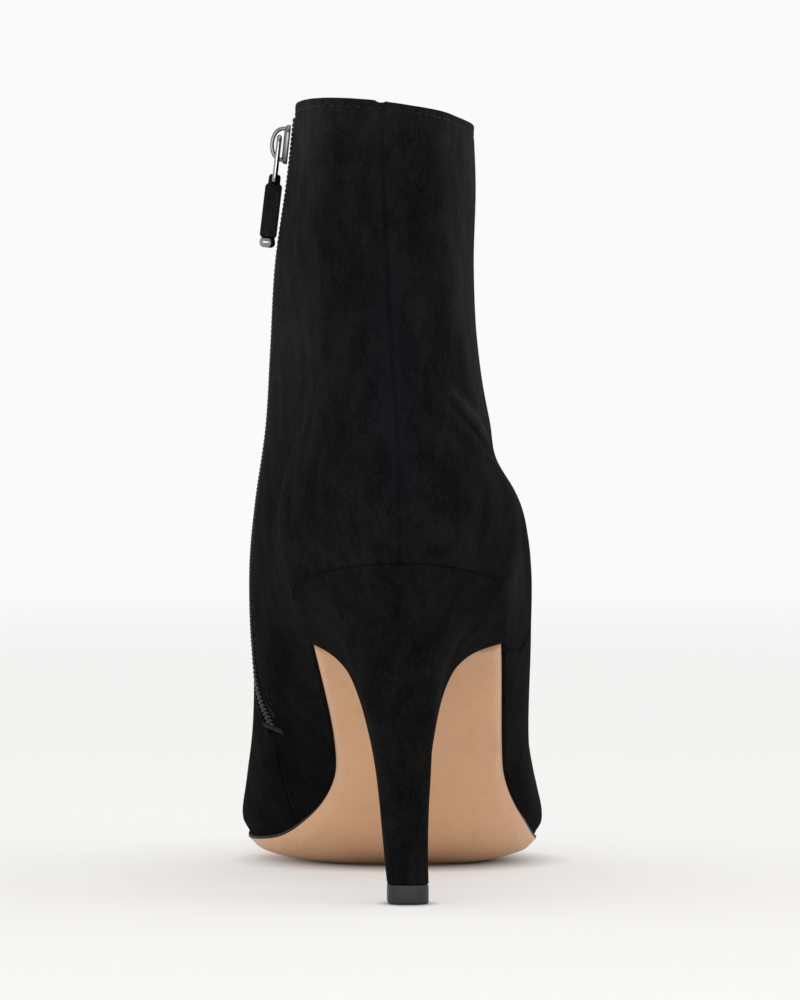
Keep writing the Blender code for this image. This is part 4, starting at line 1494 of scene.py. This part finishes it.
class BOOT_OT_zip(bpy.types.Operator):
    """Woven zip tape in its slot and the two rows of fine teeth on it"""

    bl_idname = "boot.zip"
    bl_label = "Zip"

    def execute(self, context):
        sizes = context.scene.boot_sizes
        colours = context.scene.boot_colours
        half = SLOT_HALF + TAPE_OVER
        section = [(mix(-half, half, k / 12), -TAPE_HIGH - TAPE_FALL * abs(k / 6 - 1)) for k in range(13)]
        section += [(half, -TAPE_DEEP), (-half, -TAPE_DEEP)]
        first = ZIP_END + TAPE_CLEAR
        bm = bmesh.new()
        outlines = []
        for j in range(131):
            here, across, up, out = zip_frame(mix(first, TAPE_TOP, j / 130))
            outlines.append([here + across * a + out * h for a, h in section])
        loft(bm, outlines)
        tape = tape_finish("zip_tape_finish", colours.tape)
        piece("zip_tape", bm, [tape], "boot", "zip_teeth", "zip_chain")
        bm = bmesh.new()
        places = even_places(lambda p: zip_frame(mix(first, ZIP_TOP, p))[0], 260, sizes.tooth_pitch)
        step = places[1] - places[0]
        size = Matrix.Diagonal((TOOTH_WIDE, sizes.tooth_pitch * TOOTH_SHARE, TOOTH_HIGH, 1.0))
        for side, ahead in ((-1, 0.25), (1, 0.5)):
            for place in places[:-1]:
                here, across, up, out = zip_frame(mix(first, ZIP_TOP, place + step * ahead))
                centre = here + across * side * TOOTH_ASIDE + out * TOOTH_PROUD
                bmesh.ops.create_cube(bm, size=1.0, matrix=frame_matrix(centre, across, up, out) @ size)
        bmesh.ops.bevel(
            bm, geom=bm.edges[:], offset=TOOTH_BEVEL, offset_type="OFFSET", affect="EDGES", segments=1,
            profile=0.5, material=-1, clamp_overlap=True)
        teeth = metal_finish("zip_tooth_finish", colours.teeth, rough=0.36, marks=0.12, metallic=0.5)
        piece("zip_teeth_rows", bm, [teeth], "boot", "zip_teeth")
        return {"FINISHED"}


def pull_frame():
    """Frame of the slider and pull: x back across the zip, y up along it, z out of the boot."""
    here, _, _, out = zip_frame(SLIDER_LEVEL)
    out = Vector((out.x, 0.0, out.z)).normalized()
    across = Vector((0.0, -1.0, 0.0))
    return frame_matrix(here, across, out.cross(across), out)


def bend_through(bm, path, section, closed=False):
    """A section of (side, lift) pairs carried along a path of (place, way, side) rows."""
    outlines = []
    for here, way, side in path:
        lift = side.cross(way)
        outlines.append([here + side * a + lift * b for a, b in section])
    if not closed:
        loft(bm, outlines)
        return
    count = len(section)
    weave(bm, count, len(outlines), lambda i, j: outlines[j % len(outlines)][i % count])
    close_up(bm)


class BOOT_OT_slider(bpy.types.Operator):
    """Zip slider: a plate over the teeth with an arched bridge for the pull"""

    bl_idname = "boot.slider"
    bl_label = "Zip slider"

    def execute(self, context):
        chrome = metal_finish("slider_chrome", context.scene.boot_colours.slider, rough=0.16, marks=0.20)
        bm = bmesh.new()
        outlines = []
        for row in PLATE_ROWS:
            outline = []
            wide = SLIDER_WIDE - 2 * row.inset
            long = SLIDER_LONG - 2 * row.inset
            for x, y in rounded(wide, long, SLIDER_CORNER - row.inset, 6):
                waist = mix(0.82, 1.0, ramp(y, -SLIDER_LONG / 2, 0.0072))
                outline.append(Vector((x * waist, y, BRIDGE_FOOT - row.under)))
            outlines.append(outline)
        loft(bm, outlines)
        low = BRIDGE_FOOT - BRIDGE_SUNK
        rise = BRIDGE_TOP - BRIDGE_FOOT
        path = []
        for i in range(33):
            angle = math.pi * i / 32
            path.append(Vector((0, BRIDGE_HALF * math.cos(angle), low + rise * math.sin(angle) ** 0.7)))
        rows = []
        for i, here in enumerate(path):
            way = path[min(i + 1, len(path) - 1)] - path[max(i - 1, 0)]
            rows.append((here, way.normalized(), Vector((1, 0, 0))))
        arch = bmesh.new()
        bend_through(arch, rows, rounded(BRIDGE_WIDE, BRIDGE_THICK, BRIDGE_CORNER, 4))
        joined = bpy.data.meshes.new("bridge_arch")
        arch.to_mesh(joined)
        arch.free()
        bm.from_mesh(joined)
        bpy.data.meshes.remove(joined)
        bmesh.ops.transform(bm, matrix=pull_frame(), verts=bm.verts)
        slider = piece("slider_body", bm, [chrome], "boot", "slider_metal", "zip_slider")
        rounded_edges(slider, 0.0002, 2, 35.0)
        return {"FINISHED"}


def hung():
    """Place of the pull's pieces, leaning about the link's upper bar."""
    pivot = Matrix.Translation((0, *PIVOT))
    return pull_frame() @ pivot @ Matrix.Rotation(-PULL_LEAN, 4, "X") @ pivot.inverted()


def hang(name, bm, finish, slot, node):
    """A piece of the pull, drawn as if upright, hung in its place."""
    bmesh.ops.transform(bm, matrix=hung(), verts=bm.verts)
    return piece(name, bm, [finish], "pull", slot, node)


def stack(rows, out):
    """A closed body through (height, outline) rows, its outlines lying across the pull at a distance out."""
    bm = bmesh.new()
    loft(bm, [[Vector((x, y, out + z)) for x, z in outline] for y, outline in rows])
    return bm


class BOOT_OT_pull(bpy.types.Operator):
    """Pull of the zip: a wire link, a suede tab and the bead at its end"""

    bl_idname = "boot.pull"
    bl_label = "Zip pull"

    def execute(self, context):
        colours = context.scene.boot_colours
        chrome = metal_finish("pull_chrome", colours.metal, rough=0.08, marks=0.10)
        up, out = PIVOT
        middle = Vector((0, up - (LINK_LONG - WIRE) / 2, out))
        spots = [Vector((x, y, 0)) for x, y in rounded(LINK_WIDE - WIRE, LINK_LONG - WIRE, LINK_CORNER, 8)]
        path = []
        for i, spot in enumerate(spots):
            way = (spots[(i + 1) % len(spots)] - spots[i - 1]).normalized()
            path.append((middle + spot, way, way.cross(Vector((0, 0, 1)))))
        bm = bmesh.new()
        angles = [math.pi / 8 * k for k in range(16)]
        wire = [(WIRE / 2 * math.cos(angle), WIRE / 2 * math.sin(angle)) for angle in angles]
        bend_through(bm, path, wire, closed=True)
        hang("link_loop", bm, chrome, "link_metal", "pull_link")
        top = up - (LINK_LONG - WIRE) + TAB_OVER
        rows = []
        for row in TAB_ROWS:
            outline = rounded(TAB_WIDE * row.wide / 100, TAB_DEEP * row.deep / 100, TAB_CORNER, 4)
            rows.append((top - TAB_LONG * row.along / 100, outline))
        cover = suede_finish("tab_cover_suede", lint=0.0, raised=2.4)
        tab = hang("suede_tab", stack(rows, out), cover, "tab_suede", "pull_tab")
        rounded_edges(tab, 0.0003, 3, 30.0)
        top -= TAB_LONG + GAP
        rows = []
        for row in BEAD_ROWS:
            outline = rounded(BEAD_WIDE * row.share, BEAD_DEEP * row.share, BEAD_CORNER * row.share, 4)
            rows.append((top - row.drop, outline))
        hang("tab_bead", stack(rows, out), chrome, "end_metal", "pull_end")
        return {"FINISHED"}


def soft_light(lamp):
    """A large soft light that faces the boot."""
    light = bpy.data.lights.new(lamp.name, "AREA")
    light.shape = "RECTANGLE"
    light.size = lamp.wide
    light.size_y = lamp.tall
    light.energy = lamp.power
    thing = bpy.data.objects.new(lamp.name, light)
    bpy.context.scene.collection.objects.link(thing)
    thing.location = lamp.place
    thing.rotation_euler = (Vector(LIT) - Vector(lamp.place)).to_track_quat("-Z", "Y").to_euler()


def painted_shadow_rests(stage):
    """Where the boot rests on the paper, and how far along x, y and z the glow is kept off there, a painted
    shadow.
    """
    return [(TREAD, tuple(stage.sole_rest)), ((0.0, 0.0, 0.0), tuple(stage.tip_rest))]


def beyond(tree, spot, place, reach):
    """0 near a place, rising to 1 beyond its reach along each axis."""
    share = vector(tree, "DIVIDE", vector(tree, "SUBTRACT", spot, place), reach)
    return spread_out(tree, vector(tree, "LENGTH", share), 0.5, 1.0)


def paper_finish(stage):
    """Pale paper that takes the boot's shadow near it, glows evenly far from it, has painted shadow where
    the boot rests and is clear from below.
    """
    values = {"Roughness": 0.9, "Specular IOR Level": 0.0, "Emission Strength": 1.0}
    paper, tree, shader = new_finish("pale_paper", values)
    spot = add(tree, "ShaderNodeTexCoord").outputs["Object"]
    far = spread_out(tree, vector(tree, "LENGTH", spot), 0.7, 2.6)
    black = (0.0, 0.0, 0.0, 1.0)
    tree.links.new(tint(tree, far, colour(stage.floor), black), shader.inputs["Base Color"])
    near = colour(stage.glow)
    # Painted contact shadow: the glow turns black where the sole and the heel tip rest
    for place, reach in painted_shadow_rests(stage):
        near = tint(tree, beyond(tree, spot, place, reach), black, near)
    tree.links.new(tint(tree, far, near, colour(stage.backdrop)), shader.inputs["Emission Color"])
    below = add(tree, "ShaderNodeNewGeometry").outputs["Backfacing"]
    clear = add(tree, "ShaderNodeBsdfTransparent")
    sides = add(tree, "ShaderNodeMixShader")
    tree.links.new(below, sides.inputs[0])
    tree.links.new(shader.outputs[0], sides.inputs[1])
    tree.links.new(clear.outputs[0], sides.inputs[2])
    tree.links.new(sides.outputs[0], tree.nodes["Material Output"].inputs["Surface"])
    return paper


def paper_bowl(stage):
    """Pale paper that lies flat round the boot and bends up far from it."""
    bm = bmesh.new()
    places = [(0.0, 0.0), (0.6, 0.0), (2.0, 0.0)]
    for i in range(13):
        angle = math.pi / 2 * i / 12
        places.append((BOWL_FLAT + BOWL_BEND * math.sin(angle), BOWL_BEND - BOWL_BEND * math.cos(angle)))
    spots = [bm.verts.new((across, 0.0, height)) for across, height in places]
    edges = [bm.edges.new(pair) for pair in zip(spots, spots[1:])]
    bmesh.ops.spin(
        bm, geom=spots + edges, axis=(0, 0, 1), cent=(0, 0, 0), dvec=(0, 0, 0), angle=2 * math.pi, steps=96,
        use_merge=True, use_normal_flip=False, use_duplicate=False)
    bmesh.ops.remove_doubles(bm, verts=bm.verts, dist=1e-5)
    bm.normal_update()
    bmesh.ops.reverse_faces(bm, faces=[face for face in bm.faces if face.normal.z < 0])
    for face in bm.faces:
        face.smooth = True
    mesh = bpy.data.meshes.new("paper_bowl")
    bm.to_mesh(mesh)
    bm.free()
    mesh.materials.append(paper_finish(stage))
    floor = bpy.data.objects.new("paper_bowl", mesh)
    bpy.context.scene.collection.objects.link(floor)


def studio_light(stage):
    """Even light from the room and four large soft lights."""
    world = bpy.data.worlds.new("studio")
    world.use_nodes = True
    light = world.node_tree.nodes["Background"]
    light.inputs["Color"].default_value = (1.0, 1.0, 1.0, 1.0)
    light.inputs["Strength"].default_value = stage.room
    bpy.context.scene.world = world
    for lamp in (
        Lamp("soft_top", stage.key, 1.6, 1.6, (0.0, -0.2, 1.9)),
        Lamp("soft_fill", stage.fill, 1.4, 0.5, (-0.55, -2.1, 0.35)),
        Lamp("soft_left", stage.left, 0.9, 1.5, (-1.7, -0.5, 0.85)),
        Lamp("soft_right", stage.right, 0.9, 1.5, (1.7, -0.5, 0.85)),
    ):
        soft_light(lamp)


def camera_behind(stage):
    """A camera straight behind the boot."""
    camera = bpy.data.objects.new("camera", bpy.data.cameras.new("camera"))
    bpy.context.scene.collection.objects.link(camera)
    camera.data.lens = stage.lens
    camera.data.sensor_width = 36.0
    camera.data.clip_start = 0.05
    camera.location = (stage.camera_x, -stage.distance, stage.camera_z)
    aim = Vector(((CAD_LOW.x + CAD_HIGH.x) / 2 - 0.002, 0.02, (CAD_LOW.z + CAD_HIGH.z) / 2))
    camera.rotation_euler = (aim - camera.location).to_track_quat("-Z", "Y").to_euler()
    return camera


class BOOT_OT_stage(bpy.types.Operator):
    """Pale paper bowl, even studio light and a camera straight behind the boot"""

    bl_idname = "boot.stage"
    bl_label = "Stage"

    def execute(self, context):
        scene = context.scene
        paper_bowl(scene.boot_stage)
        studio_light(scene.boot_stage)
        scene.camera = camera_behind(scene.boot_stage)
        scene.view_settings.view_transform = "Standard"
        scene.view_settings.look = "None"
        return {"FINISHED"}


PIECES = [
    BOOT_OT_upper,
    BOOT_OT_stitching,
    BOOT_OT_outsole,
    BOOT_OT_sock,
    BOOT_OT_heel,
    BOOT_OT_top_piece,
    BOOT_OT_zip,
    BOOT_OT_slider,
    BOOT_OT_pull,
    BOOT_OT_stage,
]


class BOOT_PT_pieces(bpy.types.Panel):
    """The boot's pieces and settings"""

    bl_idname = "BOOT_PT_pieces"
    bl_label = "Heeled ankle boot"
    bl_space_type = "VIEW_3D"
    bl_region_type = "UI"
    bl_category = "Boot"

    def draw(self, context):
        for made in PIECES:
            self.layout.operator(made.bl_idname)
        for group in (context.scene.boot_sizes, context.scene.boot_colours, context.scene.boot_stage):
            box = self.layout.box()
            for name in group.__annotations__:
                box.prop(group, name)


CLASSES = [BootSizes, BootColours, BootStage, *PIECES, BOOT_PT_pieces]


def register():
    for made in CLASSES:
        bpy.utils.register_class(made)
    bpy.types.Scene.boot_sizes = PointerProperty(type=BootSizes)
    bpy.types.Scene.boot_colours = PointerProperty(type=BootColours)
    bpy.types.Scene.boot_stage = PointerProperty(type=BootStage)


def unregister():
    del bpy.types.Scene.boot_stage
    del bpy.types.Scene.boot_colours
    del bpy.types.Scene.boot_sizes
    for made in reversed(CLASSES):
        bpy.utils.unregister_class(made)


def main():
    for thing in list(bpy.data.objects):
        if thing.name in ("Cube", "Light", "Camera") and "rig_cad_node" not in thing:
            bpy.data.objects.remove(thing, do_unlink=True)
    register()
    bpy.ops.boot.upper()
    bpy.ops.boot.stitching()
    bpy.ops.boot.outsole()
    bpy.ops.boot.sock()
    bpy.ops.boot.heel()
    bpy.ops.boot.top_piece()
    bpy.ops.boot.zip()
    bpy.ops.boot.slider()
    bpy.ops.boot.pull()
    bpy.ops.boot.stage()


if __name__ == "__main__":
    main()
